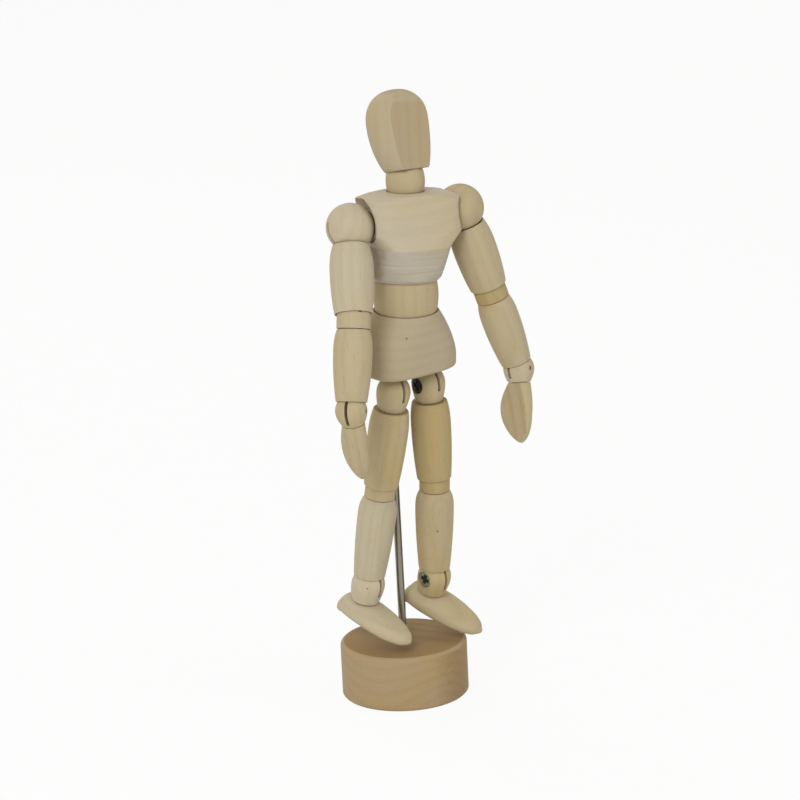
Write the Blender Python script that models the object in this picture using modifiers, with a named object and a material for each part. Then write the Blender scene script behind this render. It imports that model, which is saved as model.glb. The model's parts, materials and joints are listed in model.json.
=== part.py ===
"""Jointed wooden drawing figure on a round stand, about 200 mm tall.

The figure faces -Y, its left side is +X, and the origin is the centre of the stand's underside.
Every limb hangs down its own -Z from the centre of its upper joint, and every hinge turns about
the X axis of its own frame.
"""

import math

import bmesh
import bpy
from mathutils import Matrix, Vector

MM = 0.001

# Clearances
GAP = 0.3 * MM  # between a ball and its socket, and at every seam
FIT = 0.15 * MM  # around metal and pegs seated in wood
LIP = 0.25 * MM  # wall at the rim of a ball socket

# Stand
BASE_RADIUS = 20.5 * MM
BASE_HEIGHT = 18.0 * MM
BASE_TOP_EDGE = 1.5 * MM
BASE_FOOT_EDGE = 0.7 * MM
ROD_RADIUS = 1.25 * MM
ROD_LENGTH = 92.4 * MM  # from the top of the base to the underside of the pelvis
ROD_IN_BASE = 12.0 * MM
ROD_IN_PELVIS = 9.0 * MM
ROD_LEAN = 0.5  # degrees back from upright

# Pelvis
PELVIS_HEIGHT = 19.5 * MM
PELVIS_HALF_WIDTH = 15.9 * MM
PELVIS_HALF_DEPTH = 10.8 * MM
PELVIS_FLARE = 15.0 * MM  # height of the flared sides below the waist
PELVIS_EDGE = 1.3 * MM
PELVIS_SQUARENESS = 3.4  # 2 is an ellipse
PELVIS_CURVE = 1.7  # how late the sides turn in to the waist
ROD_SETBACK = 8.6 * MM  # the rod's hole behind the waist's axis

# Waist
WAIST_BAND_RADIUS = 9.8 * MM
WAIST_BAND_HALF_HEIGHT = 5.0 * MM
WAIST_BULGE = 0.5 * MM

# Chest
SHOULDER_SPREAD = 38.4 * MM  # between the centres of the shoulder balls
CHEST_HEIGHT = 27.8 * MM
CHEST_FORWARD = 0.5 * MM  # the upper chest in front of the spine
CHEST_ASIDE = 1.4 * MM  # the upper chest to the left of the spine
CHEST_EDGE = 0.9 * MM  # rounding round the lower rim
CHEST_CREASE_HEIGHT = 10.8 * MM
CHEST_CREASE_HALF_WIDTH = 12.0 * MM
CHEST_CREASE_HALF_DEPTH = 12.0 * MM
CHEST_BROAD_HEIGHT = 15.2 * MM
CHEST_SIDE_INSET = 3.3 * MM  # the sides inside the shoulders' centres
CHEST_HALF_WIDTH = SHOULDER_SPREAD / 2 - CHEST_SIDE_INSET
CHEST_CORNER_HEIGHT = 26.2 * MM
CHEST_CORNER_INSET = 2.4 * MM  # the corners inside the shoulders' centres
CHEST_CORNER_HALF_WIDTH = SHOULDER_SPREAD / 2 - CHEST_CORNER_INSET
CHEST_CORNER_HALF_DEPTH = 8.8 * MM
CHEST_TOP_HALF_WIDTH = 9.2 * MM
CHEST_TOP_HALF_DEPTH = 7.0 * MM
CHEST_SQUARENESS = 3.3
CHEST_TOP_SQUARENESS = 3.0

# Neck and head
NECK_BAND_RADIUS = 5.7 * MM
NECK_BAND_HALF_HEIGHT = 3.2 * MM
NECK_BULGE = 0.45 * MM
HEAD_HALF_WIDTH = 9.3 * MM
HEAD_HALF_DEPTH = 10.6 * MM
HEAD_RISE = 10.4 * MM  # crown above the widest level
HEAD_DROP = 15.0 * MM  # jaw below the widest level
HEAD_TAPER = 21.6 * MM  # half-axis of the egg's lower half
HEAD_FULLNESS = 2.3  # of the crown; 2 is an ellipse
CROWN_SHARE = 0.965  # where the last ring lies on the way to the crown
JAW_FORWARD = 1.6 * MM  # the jaw in front of the head's axis
FACE_DISTANCE = 6.3 * MM  # the flat face in front of the head's axis
FACE_SLANT = 0.5  # degrees, the brow leans back

# Shoulders
SHOULDER_HEIGHT = 19.4 * MM  # above the chest's lower rim
SHOULDER_BALL_RADIUS = 7.6 * MM
DISH_SEAT = 35.0  # degrees from the dish's axis to where it widens for the arm
DISH_FLARE = 2.2 * MM  # how much wider than the arm's rim the dish is at its mouth

# Arms
UPPER_ARM_LENGTH = 29.9 * MM
UPPER_ARM_RIM = 5.7 * MM  # the socket's rim below the shoulder's centre
UPPER_ARM_RADIUS = 6.9 * MM
UPPER_ARM_BELLY = 13.5 * MM
UPPER_ARM_CURVES = (2.2, 2.2)  # how late the sides turn in to the top and to the bottom
ELBOW_BAND_RADIUS = 5.3 * MM
ELBOW_BAND_HALF_HEIGHT = 2.3 * MM
ELBOW_SWING = 45.0  # degrees each way
FOREARM_LENGTH = 27.5 * MM
FOREARM_TOP_RADIUS = 5.1 * MM
FOREARM_RADIUS = 6.1 * MM
FOREARM_BELLY = 9.5 * MM
FOREARM_CURVES = (2.6, 2.0)
WRIST_BALL_RADIUS = 5.0 * MM
WRIST_RIM = 2.6 * MM
WRIST_SEAT = 4.4 * MM
WRIST_SEAT_RADIUS = 3.6 * MM
WRIST_PEG_RADIUS = 1.3 * MM
HAND_LENGTH = 19.4 * MM
HAND_HALF_WIDTH = 5.3 * MM
HAND_HALF_THICKNESS = 3.7 * MM
HAND_ASIDE = 1.3 * MM  # how far the hand bulges to the little finger's side
HAND_BROAD = 0.42  # share of the length where the hand is broadest
HAND_TIP_SHARE = 0.985  # where the last ring lies on the way to the tip
HAND_TAPER = 0.62  # how bluntly the hand ends
PALM_DISTANCE = 2.9 * MM  # the flat palm from the hand's middle, at the wrist
PALM_SLANT = 10.0  # degrees

# Legs
HIP_SPREAD = 14.4 * MM
HIP_FORWARD = 2.3 * MM  # in front of the waist's axis
HIP_DROP = 5.5 * MM  # below the pelvis
HIP_BALL_RADIUS = 5.4 * MM
HIP_SEAT = 6.0 * MM
HIP_SEAT_RADIUS = 4.3 * MM
THIGH_LENGTH = 34.0 * MM
THIGH_TOP_RADIUS = 5.6 * MM
THIGH_RADIUS = 6.4 * MM
THIGH_BELLY = 14.0 * MM
THIGH_CURVES = (2.4, 2.0)
KNEE_BAND_RADIUS = 4.9 * MM
KNEE_BAND_HALF_HEIGHT = 2.0 * MM
KNEE_SWING = 40.0  # degrees each way
SHIN_LENGTH = 32.5 * MM
SHIN_TOP_RADIUS = 4.7 * MM
SHIN_RADIUS = 6.2 * MM
SHIN_BELLY = 8.5 * MM
SHIN_CURVES = (2.8, 1.8)
ANKLE_BALL_RADIUS = 5.4 * MM
ANKLE_RIM = 3.1 * MM
ANKLE_SEAT = 5.6 * MM
ANKLE_SEAT_RADIUS = 4.5 * MM
FOOT_HEEL = 7.7 * MM
FOOT_TOE = 20.2 * MM
FOOT_HALF_WIDTH = 7.0 * MM
FOOT_HEIGHT = 6.8 * MM
FOOT_SLOPE = 5.0  # degrees, the sole slopes down to the toe
FOOT_SQUARENESS = 2.5
FOOT_PINCH = 0.22  # how much narrower the foot is at its top than lower down
# Stations of the foot: share of the heel's reach, or of the toe's below zero, share of the half-width,
# and the top and the sole as shares of the foot's height
FOOT_STATIONS = [
    (1.0, 0.45, 0.52, 0.22),
    (0.92, 0.62, 0.74, 0.08),
    (0.6, 0.80, 0.98, 0.02),
    (0.2, 0.92, 1.05, 0.0),
    (-0.15, 1.0, 1.05, 0.0),
    (-0.4, 1.0, 0.95, 0.0),
    (-0.62, 0.90, 0.82, 0.0),
    (-0.82, 0.68, 0.68, 0.03),
    (-0.95, 0.40, 0.50, 0.10),
    (-1.0, 0.18, 0.36, 0.18),
]

# Joint hardware
TONGUE_THICKNESS = 0.6 * MM
TONGUE_HALF_WIDTH = 1.5 * MM
TONGUE_EYE_RADIUS = 1.8 * MM
TONGUE_ROOT = 6.0 * MM  # how far a tongue is let into its limb
SLOT_CLEARANCE = 0.2 * MM
PIN_RADIUS = 0.6 * MM
PIN_COVER = 1.0 * MM  # wood left over the blind end of a pin
PIN_SINK = 0.4 * MM  # how deep the open end of a pin lies
SCREW_HEAD_RADIUS = 2.5 * MM
SCREW_HEAD_HEIGHT = 0.9 * MM
SCREW_SINK = 0.9 * MM  # how deep a screw's head lies under the ball's widest point
PEG_RADIUS = 1.8 * MM
PEG_LENGTH = 5.0 * MM

# Springs
SPRING_RADIUS = 1.2 * MM
SPRING_WIRE = 0.3 * MM
SPRING_BORE = 2.8 * MM
SPRING_PITCH = 4.0 * MM
HOOK_PLAY = 0.5 * MM  # between a spring's hook and what it holds
HEAD_PIN_HEIGHT = 14.0 * MM  # above the neck's centre
PELVIS_PIN_DEPTH = 15.0 * MM  # below the waist's centre
CROSS_PIN_HALF_LENGTH = 6.5 * MM

# Facets
TURN_STEPS = 12
BALL_STEPS = 12
BASE_STEPS = 28
PIN_STEPS = 8
LOFT_SIDES = 18
COIL_POINTS = 5  # points in one turn of a spring
MERGE = 1e-6

# Pose at rest, in degrees, and each shoulder's rise in its dish in millimetres
PELVIS_TURN = 0.0
PELVIS_PITCH = 4.0
WAIST_BEND = -1.5
CHEST_BACK = 2.5
CHEST_SIDE = 3.5
CHEST_TURN = -13.5
NECK_BEND = -5.0
HEAD_BACK = 8.0
HEAD_SIDE = -2.0
HEAD_TURN = 12.0
ARM_POSES = {
    "right": dict(rise=-1.5, swing=22.0, lift=8.5, elbow=-9.0, forearm=-44.0, wrist=-30.0, hand=142.0),
    "left": dict(rise=1.5, swing=1.0, lift=21.0, elbow=0.5, forearm=68.0, wrist=26.0, hand=-24.0),
}
LEG_POSES = {
    "right": dict(splay=4.0, hip=-7.0, thigh=-1.0, knee=-0.5, shin=-9.5, ankle=4.5, foot=-3.0),
    "left": dict(splay=2.5, hip=2.0, thigh=3.5, knee=5.0, shin=2.0, ankle=14.0, foot=16.5),
}
SIDES = {"right": -1, "left": 1}

BIRCH = (0.54, 0.44, 0.30)
HONEY = (0.52, 0.40, 0.23)
STEEL = (0.42, 0.41, 0.40)
WOOD_ROUGHNESS = 0.62
STEEL_ROUGHNESS = 0.3


class Workshop:
    """Where the pieces, their cutters and the joints' frames go."""

    def __init__(self):
        for item in list(bpy.data.objects):
            bpy.data.objects.remove(item, do_unlink=True)
        self.parts = self.new_collection("drawing_mannequin")
        self.cutters = self.new_collection("cutters")

    @staticmethod
    def new_collection(name):
        collection = bpy.data.collections.new(name)
        bpy.context.scene.collection.children.link(collection)
        return collection

    def frame(self, name, parent=None, place=(0, 0, 0), turn=(0, 0, 0)):
        """An empty at a joint's centre, turned by degrees about X, Y and Z."""
        empty = bpy.data.objects.new(name, None)
        empty.empty_display_size = PEG_LENGTH
        empty.parent = parent
        empty.location = place
        empty.rotation_euler = [math.radians(angle) for angle in turn]
        self.parts.objects.link(empty)
        return empty

    def add(self, piece, frame, colour):
        """Takes a piece into the figure, in a material of its own."""
        metal = colour is STEEL
        material = bpy.data.materials.new(piece.name)
        material.use_nodes = True
        shader = material.node_tree.nodes["Principled BSDF"]
        shader.inputs["Base Color"].default_value = (*colour, 1.0)
        shader.inputs["Roughness"].default_value = STEEL_ROUGHNESS if metal else WOOD_ROUGHNESS
        shader.inputs["Metallic"].default_value = 1.0 if metal else 0.0
        piece.data.materials.append(material)
        piece.parent = frame
        self.parts.objects.link(piece)
        return piece

    def cut(self, piece, cutter, frame=None):
        """Takes a cutter's shape out of a piece; the cutter hangs in the piece's frame or its own."""
        cutter.parent = frame or piece.parent
        cutter.hide_render = True
        cutter.display_type = "WIRE"
        self.cutters.objects.link(cutter)
        boolean = piece.modifiers.new(cutter.name, "BOOLEAN")
        boolean.operation = "DIFFERENCE"
        boolean.object = cutter


# Outlines, as lists of (radius, height)


def arc(radius, start, end, count, centre=0.0):
    """A circle about a point of the axis, between two angles over the equator, in degrees."""
    angles = [math.radians(start + (end - start) * i / (count - 1)) for i in range(count)]
    return [(radius * math.cos(angle), centre + radius * math.sin(angle)) for angle in angles]


def swelling(top, belly, bottom, curves, count=4):
    """A limb's outside, from the rim of its top over its belly to the rim of its bottom."""
    points = []
    for i in range(count):
        share = 1 - i / count
        radius = belly[0] + (top[0] - belly[0]) * share ** curves[0]
        points.append((radius, belly[1] + (top[1] - belly[1]) * share))
    for i in range(count + 1):
        share = i / count
        radius = belly[0] + (bottom[0] - belly[0]) * share ** curves[1]
        points.append((radius, belly[1] + (bottom[1] - belly[1]) * share))
    return points


def socket_radius(ball_radius):
    return ball_radius + GAP


def rim_radius(ball_radius, rim_height):
    """Outside of a limb's end whose socket closes on a ball this far from the ball's centre."""
    return math.sqrt(socket_radius(ball_radius) ** 2 - rim_height**2) + LIP


def band_sphere(band_radius, half_height):
    """Radius of a ball whose middle is turned down to a straight band."""
    return math.hypot(band_radius, half_height)


def socket(ball_radius, rim_height, centre, count=4):
    """A socket open downward, from its rim in to the axis."""
    radius = socket_radius(ball_radius)
    rim = math.degrees(math.asin(rim_height / radius))
    return arc(radius, rim, 90.0, count, centre)[:-1] + [(0.0, centre + radius)]


def peg(seat, seat_radius, peg_radius):
    """The underside of a ball: its flat seat, and the peg that turns in the next limb."""
    end = -seat - PEG_LENGTH
    return [(seat_radius, -seat), (peg_radius, -seat), (peg_radius, end), (0.0, end)]


def peg_hole(seat, peg_radius):
    """The hole for a peg in a limb's flat top, from the axis up to the top."""
    radius = peg_radius + FIT
    end = -seat - PEG_LENGTH - GAP
    return [(0.0, end), (radius, end), (radius, -seat - GAP)]


# Shapes


def turned(name, outline, steps=TURN_STEPS, closed=False):
    """A turned piece: the outline runs down the outer side and is swept about Z."""
    edges = [(i, i + 1) for i in range(len(outline) - 1)]
    if closed:
        edges.append((len(outline) - 1, 0))
    mesh = bpy.data.meshes.new(name)
    mesh.from_pydata([(radius, 0.0, height) for radius, height in outline], edges, [])
    piece = bpy.data.objects.new(name, mesh)
    screw = piece.modifiers.new("turned", "SCREW")
    screw.axis = "Z"
    screw.angle = math.tau
    screw.steps = steps
    screw.render_steps = steps
    screw.use_merge_vertices = True
    screw.merge_threshold = MERGE
    screw.use_smooth_shade = True
    return piece


def along_x(piece, side=1, place=(0, 0, 0)):
    """Lays a piece's own +Z along +X or -X."""
    piece.matrix_basis = Matrix.Translation(place) @ Matrix.Rotation(side * math.pi / 2, 4, "Y")
    return piece


def cylinder(name, radius, low, high, steps=PIN_STEPS):
    return turned(name, [(0.0, high), (radius, high), (radius, low), (0.0, low)], steps)


def rounded(half_width, half_depth, squareness, height, forward=0.0):
    """A ring at a height; squareness 2 makes it an ellipse."""
    ring = []
    for i in range(LOFT_SIDES):
        angle = math.tau * (i + 0.5) / LOFT_SIDES
        x, y = math.cos(angle), math.sin(angle)
        across = math.copysign(half_width * abs(x) ** (2 / squareness), x)
        along = math.copysign(half_depth * abs(y) ** (2 / squareness), y)
        ring.append((across, along - forward, height))
    return ring


def loft(name, rings):
    """A closed skin through rings of equally many points."""
    shape = bmesh.new()
    loops = [[shape.verts.new(point) for point in ring] for ring in rings]
    for low, high in zip(loops, loops[1:]):
        for i in range(len(low)):
            j = (i + 1) % len(low)
            shape.faces.new((low[i], low[j], high[j], high[i]))
    shape.faces.new(loops[0][::-1])
    shape.faces.new(loops[-1])
    bmesh.ops.recalc_face_normals(shape, faces=shape.faces)
    mesh = bpy.data.meshes.new(name)
    shape.to_mesh(mesh)
    shape.free()
    mesh.shade_smooth()
    mesh.set_sharp_from_angle(angle=math.radians(35))
    return bpy.data.objects.new(name, mesh)


def block(name, low, high):
    """A box between two corners."""
    shape = bmesh.new()
    bmesh.ops.create_cube(shape, size=1.0)
    for vertex in shape.verts:
        for i in range(3):
            vertex.co[i] = (low[i] + high[i]) / 2 + vertex.co[i] * (high[i] - low[i])
    mesh = bpy.data.meshes.new(name)
    shape.to_mesh(mesh)
    shape.free()
    return bpy.data.objects.new(name, mesh)


def sphere(name, radius):
    shape = bmesh.new()
    bmesh.ops.create_uvsphere(shape, u_segments=TURN_STEPS, v_segments=8, radius=radius)
    mesh = bpy.data.meshes.new(name)
    shape.to_mesh(mesh)
    shape.free()
    return bpy.data.objects.new(name, mesh)


def wire(name, points):
    """Spring wire along a path."""
    curve = bpy.data.curves.new(name, "CURVE")
    curve.dimensions = "3D"
    curve.bevel_depth = SPRING_WIRE
    curve.bevel_resolution = 0
    curve.use_fill_caps = True
    spline = curve.splines.new("POLY")
    spline.points.add(len(points) - 1)
    for point, place in zip(spline.points, points):
        point.co = (*place, 1.0)
    return bpy.data.objects.new(name, curve)


# Ball joints


def round_ball(name, radius, seat, seat_radius, peg_radius=PEG_RADIUS):
    """A ball with a barrel-shaped lower half on a flat seat."""
    barrel = []
    for i in range(1, 3):
        drop = math.pi / 2 * i / 3
        barrel.append((seat_radius + (radius - seat_radius) * math.cos(drop), -seat * i / 3))
    outline = [(0.0, radius)] + arc(radius, 90.0, 0.0, 5)[1:] + barrel
    return turned(name, outline + peg(seat, seat_radius, peg_radius), BALL_STEPS)


def banded_ball(name, band_radius, half_height):
    """A ball whose middle is a straight band, seated at the band's lower edge."""
    ball_radius = band_sphere(band_radius, half_height)
    band = math.degrees(math.asin(half_height / ball_radius))
    outline = [(0.0, ball_radius)] + arc(ball_radius, 90.0, band, 4)[1:]
    return turned(name, outline + peg(half_height, band_radius, PEG_RADIUS), BALL_STEPS)


def bored_band(name, band_radius, half_height, bulge):
    """A ball with a bulged band and a bore for a spring, seated in a socket at either end."""
    ball_radius = band_sphere(band_radius, half_height)
    bore = math.degrees(math.acos(SPRING_BORE / ball_radius))
    band = math.degrees(math.asin(half_height / ball_radius))
    outline = arc(ball_radius, bore, band, 4)
    outline += [(band_radius + 0.75 * bulge, half_height / 2), (band_radius + bulge, 0.0)]
    outline += [(radius, -height) for radius, height in reversed(outline[:-1])]
    return turned(name, outline, TURN_STEPS + 4, closed=True)


def open_slot(name, ball_radius, downward=False):
    """A saw cut through a ball, from one pole to just past the pin."""
    half_width = TONGUE_THICKNESS / 2 + SLOT_CLEARANCE
    reach = ball_radius + GAP
    floor = TONGUE_EYE_RADIUS + SLOT_CLEARANCE
    low, high = (-reach, floor) if downward else (-floor, reach)
    return block(name, (-half_width, -reach, low), (half_width, reach, high))


def fan_slot(name, ball_radius, swing):
    """A slot inside a ball's dome, wide enough for a tongue to swing each way."""
    half_width = TONGUE_THICKNESS / 2 + SLOT_CLEARANCE
    eye = TONGUE_EYE_RADIUS + SLOT_CLEARANCE
    angle = math.radians(swing)
    reach = (ball_radius + GAP) / math.cos(math.radians(swing / 2))
    strip = TONGUE_HALF_WIDTH + SLOT_CLEARANCE
    far = reach * math.sin(angle) + strip * math.cos(angle)
    low = reach * math.cos(angle) - strip * math.sin(angle)
    bottom = [math.pi * (1 + i / 6) for i in range(7)]
    outline = [(eye * math.cos(turn), eye * math.sin(turn)) for turn in bottom]
    outline += [(far, low), (far, reach), (-far, reach), (-far, low)]
    rings = [[(x, y, z) for y, z in outline] for x in (-half_width, half_width)]
    return loft(name, rings)


def tongue(name, length, downward=False):
    """A steel strip with an eye on the joint's pin, let into the limb over or under the joint."""
    neck = math.asin(TONGUE_HALF_WIDTH / TONGUE_EYE_RADIUS)
    span = math.tau - 2 * neck
    angles = [math.pi / 2 + neck + span * i / 9 for i in range(10)]
    outline = [(TONGUE_EYE_RADIUS * math.cos(a), TONGUE_EYE_RADIUS * math.sin(a)) for a in angles]
    outline += [(TONGUE_HALF_WIDTH, length), (-TONGUE_HALF_WIDTH, length)]
    hole_radius = PIN_RADIUS + FIT
    turns = [math.tau * (i + 0.5) / PIN_STEPS for i in range(PIN_STEPS)]
    hole = [(hole_radius * math.cos(a), hole_radius * math.sin(a)) for a in turns]
    curve = bpy.data.curves.new(name, "CURVE")
    curve.dimensions = "2D"
    curve.fill_mode = "BOTH"
    curve.extrude = TONGUE_THICKNESS / 2
    for points in (outline, hole):
        spline = curve.splines.new("POLY")
        spline.points.add(len(points) - 1)
        spline.use_cyclic_u = True
        for point, (across, up) in zip(spline.points, points):
            point.co = (across, up, 0.0, 1.0)
    piece = bpy.data.objects.new(name, curve)
    upright = Matrix(((0, 0, 1, 0), (1, 0, 0, 0), (0, 1, 0, 0), (0, 0, 0, 1)))
    piece.matrix_basis = Matrix.Rotation(math.pi if downward else 0.0, 4, "X") @ upright
    return piece


def pocket(name, length, downward=False):
    """The seat of a tongue's root in a limb, centred on the joint."""
    half_thickness = TONGUE_THICKNESS / 2 + FIT
    half_width = TONGUE_HALF_WIDTH + FIT
    low, high = (-length - FIT, 0.0) if downward else (0.0, length + FIT)
    return block(name, (-half_thickness, -half_width, low), (half_thickness, half_width, high))


def fit_pin(shop, ball, name, ball_radius):
    """Cuts a ball's cross hole, blind at one end, and puts the pin in it."""
    blind = PIN_COVER - ball_radius
    hole = cylinder(name + "_hole", PIN_RADIUS + FIT, blind, ball_radius + GAP)
    shop.cut(ball, along_x(hole))
    pin = cylinder(name, PIN_RADIUS, blind + FIT, ball_radius - PIN_SINK)
    shop.add(along_x(pin), ball.parent, STEEL)


def fit_screw(shop, ball, name, ball_radius, side):
    """Cuts a ball's cross hole with a wide recess at one end, and puts the screw in it."""
    blind = PIN_COVER - ball_radius
    top = ball_radius - SCREW_SINK
    shoulder = top - SCREW_HEAD_HEIGHT
    screw = [(0.0, top), (SCREW_HEAD_RADIUS, top), (SCREW_HEAD_RADIUS, shoulder)]
    screw += [(PIN_RADIUS, shoulder), (PIN_RADIUS, blind + FIT), (0.0, blind + FIT)]
    mouth = ball_radius + GAP
    floor = shoulder - FIT
    wide = SCREW_HEAD_RADIUS + FIT
    narrow = PIN_RADIUS + FIT
    hole = [(0.0, mouth), (wide, mouth), (wide, floor), (narrow, floor), (narrow, blind), (0.0, blind)]
    shop.cut(ball, along_x(turned(name + "_hole", hole, PIN_STEPS), side))
    shop.add(along_x(turned(name, screw, PIN_STEPS), side), ball.parent, STEEL)


# Pieces


def build_stand(shop):
    """The round base and the steel rod that leans a little back; returns the rod's frame."""
    top_edge = [
        (radius + BASE_RADIUS - BASE_TOP_EDGE, height)
        for radius, height in arc(BASE_TOP_EDGE, 90.0, 0.0, 4, BASE_HEIGHT - BASE_TOP_EDGE)
    ]
    foot_edge = [(BASE_RADIUS, BASE_FOOT_EDGE), (BASE_RADIUS - BASE_FOOT_EDGE, 0.0)]
    outline = [(0.0, BASE_HEIGHT)] + top_edge + foot_edge + [(0.0, 0.0)]
    base = shop.add(turned("base", outline, BASE_STEPS), None, BIRCH)
    mast = shop.frame("mast", None, (0, 0, BASE_HEIGHT), (-ROD_LEAN, 0, 0))
    hole = cylinder("base_hole", ROD_RADIUS + FIT, -ROD_IN_BASE - FIT, BASE_TOP_EDGE, TURN_STEPS)
    shop.cut(base, hole, mast)
    rod = cylinder("support_rod", ROD_RADIUS, -ROD_IN_BASE, ROD_LENGTH + ROD_IN_PELVIS, TURN_STEPS)
    shop.add(rod, mast, STEEL)
    return mast


def build_pelvis(shop, mast):
    """The hip block on the rod; returns its frame, on the waist's axis at the underside."""
    turn = shop.frame("pelvis_turn", mast, (0, 0, ROD_LENGTH), (0, 0, PELVIS_TURN))
    level = shop.frame("pelvis_level", turn, (0, 0, 0), (PELVIS_PITCH, 0, 0))
    frame = shop.frame("pelvis_frame", level, (0, -ROD_SETBACK, 0))
    ball_radius = band_sphere(WAIST_BAND_RADIUS, WAIST_BAND_HALF_HEIGHT)
    rim = rim_radius(ball_radius, WAIST_BAND_HALF_HEIGHT)
    inner = (PELVIS_HALF_WIDTH - PELVIS_EDGE, PELVIS_HALF_DEPTH - PELVIS_EDGE)
    rings = [
        rounded(*inner, PELVIS_SQUARENESS, 0.0),
        rounded(PELVIS_HALF_WIDTH, PELVIS_HALF_DEPTH, PELVIS_SQUARENESS, PELVIS_EDGE),
    ]
    for i in range(6):
        share = i / 5
        width = PELVIS_HALF_WIDTH + (rim - PELVIS_HALF_WIDTH) * share**PELVIS_CURVE
        depth = PELVIS_HALF_DEPTH + (rim - PELVIS_HALF_DEPTH) * share**PELVIS_CURVE
        height = PELVIS_HEIGHT - PELVIS_FLARE * (1 - share)
        rings.append(rounded(width, depth, PELVIS_SQUARENESS + (2 - PELVIS_SQUARENESS) * share, height))
    pelvis = shop.add(loft("pelvis", rings), frame, BIRCH)
    waist = PELVIS_HEIGHT + WAIST_BAND_HALF_HEIGHT
    pin = waist - PELVIS_PIN_DEPTH
    dish = spring_dish(ball_radius, WAIST_BAND_HALF_HEIGHT, pin - SPRING_BORE - waist)
    shop.cut(pelvis, turned("pelvis_dish", [(r, waist + z) for r, z in dish], TURN_STEPS + 4))
    rod_hole = cylinder("pelvis_rod_hole", ROD_RADIUS + FIT, -PELVIS_EDGE, ROD_IN_PELVIS + GAP, TURN_STEPS)
    shop.cut(pelvis, rod_hole, turn)
    cross_pin(shop, pelvis, "pelvis_pin", pin)
    return frame


def spring_dish(ball_radius, rim_height, depth):
    """A cutter about a ball's centre for a socket that opens upward, with a spring's bore below."""
    radius = socket_radius(ball_radius)
    top = -rim_height + GAP
    start = math.degrees(math.asin(top / radius))
    end = -math.degrees(math.acos(SPRING_BORE / radius))
    return [(0.0, top)] + arc(radius, start, end, 5) + [(SPRING_BORE, depth), (0.0, depth)]


def cross_pin(shop, piece, name, height):
    """A short steel pin across a spring's bore, sealed in the wood at both ends."""
    half = CROSS_PIN_HALF_LENGTH
    hole = cylinder(name + "_hole", PIN_RADIUS + FIT, -half - FIT, half + FIT)
    shop.cut(piece, along_x(hole, 1, (0, 0, height)))
    pin = cylinder(name, PIN_RADIUS, -half, half)
    shop.add(along_x(pin, 1, (0, 0, height)), piece.parent, STEEL)


def build_torso(shop, pelvis_frame):
    """Abdomen, chest, neck and head, each over the last; returns the chest's and the head's frames."""
    waist = PELVIS_HEIGHT + WAIST_BAND_HALF_HEIGHT
    bend = shop.frame("waist_bend", pelvis_frame, (0, 0, waist), (WAIST_BEND, 0, 0))
    abdomen = bored_band("abdomen", WAIST_BAND_RADIUS, WAIST_BAND_HALF_HEIGHT, WAIST_BULGE)
    shop.add(abdomen, bend, HONEY)
    lean = shop.frame("chest_lean", bend, (0, 0, 0), (-CHEST_BACK, CHEST_SIDE, 0))
    chest_frame = shop.frame("chest_turn", lean, (0, 0, 0), (0, 0, CHEST_TURN))
    build_chest(shop, chest_frame)
    neck_height = WAIST_BAND_HALF_HEIGHT + CHEST_HEIGHT + NECK_BAND_HALF_HEIGHT
    nod = shop.frame("neck_bend", chest_frame, (0, 0, neck_height), (NECK_BEND, 0, 0))
    shop.add(bored_band("neck", NECK_BAND_RADIUS, NECK_BAND_HALF_HEIGHT, NECK_BULGE), nod, HONEY)
    tilt = shop.frame("head_lean", nod, (0, 0, 0), (-HEAD_BACK, HEAD_SIDE, 0))
    head_frame = shop.frame("head_turn", tilt, (0, 0, 0), (0, 0, HEAD_TURN))
    build_head(shop, head_frame)
    return chest_frame, head_frame


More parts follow.
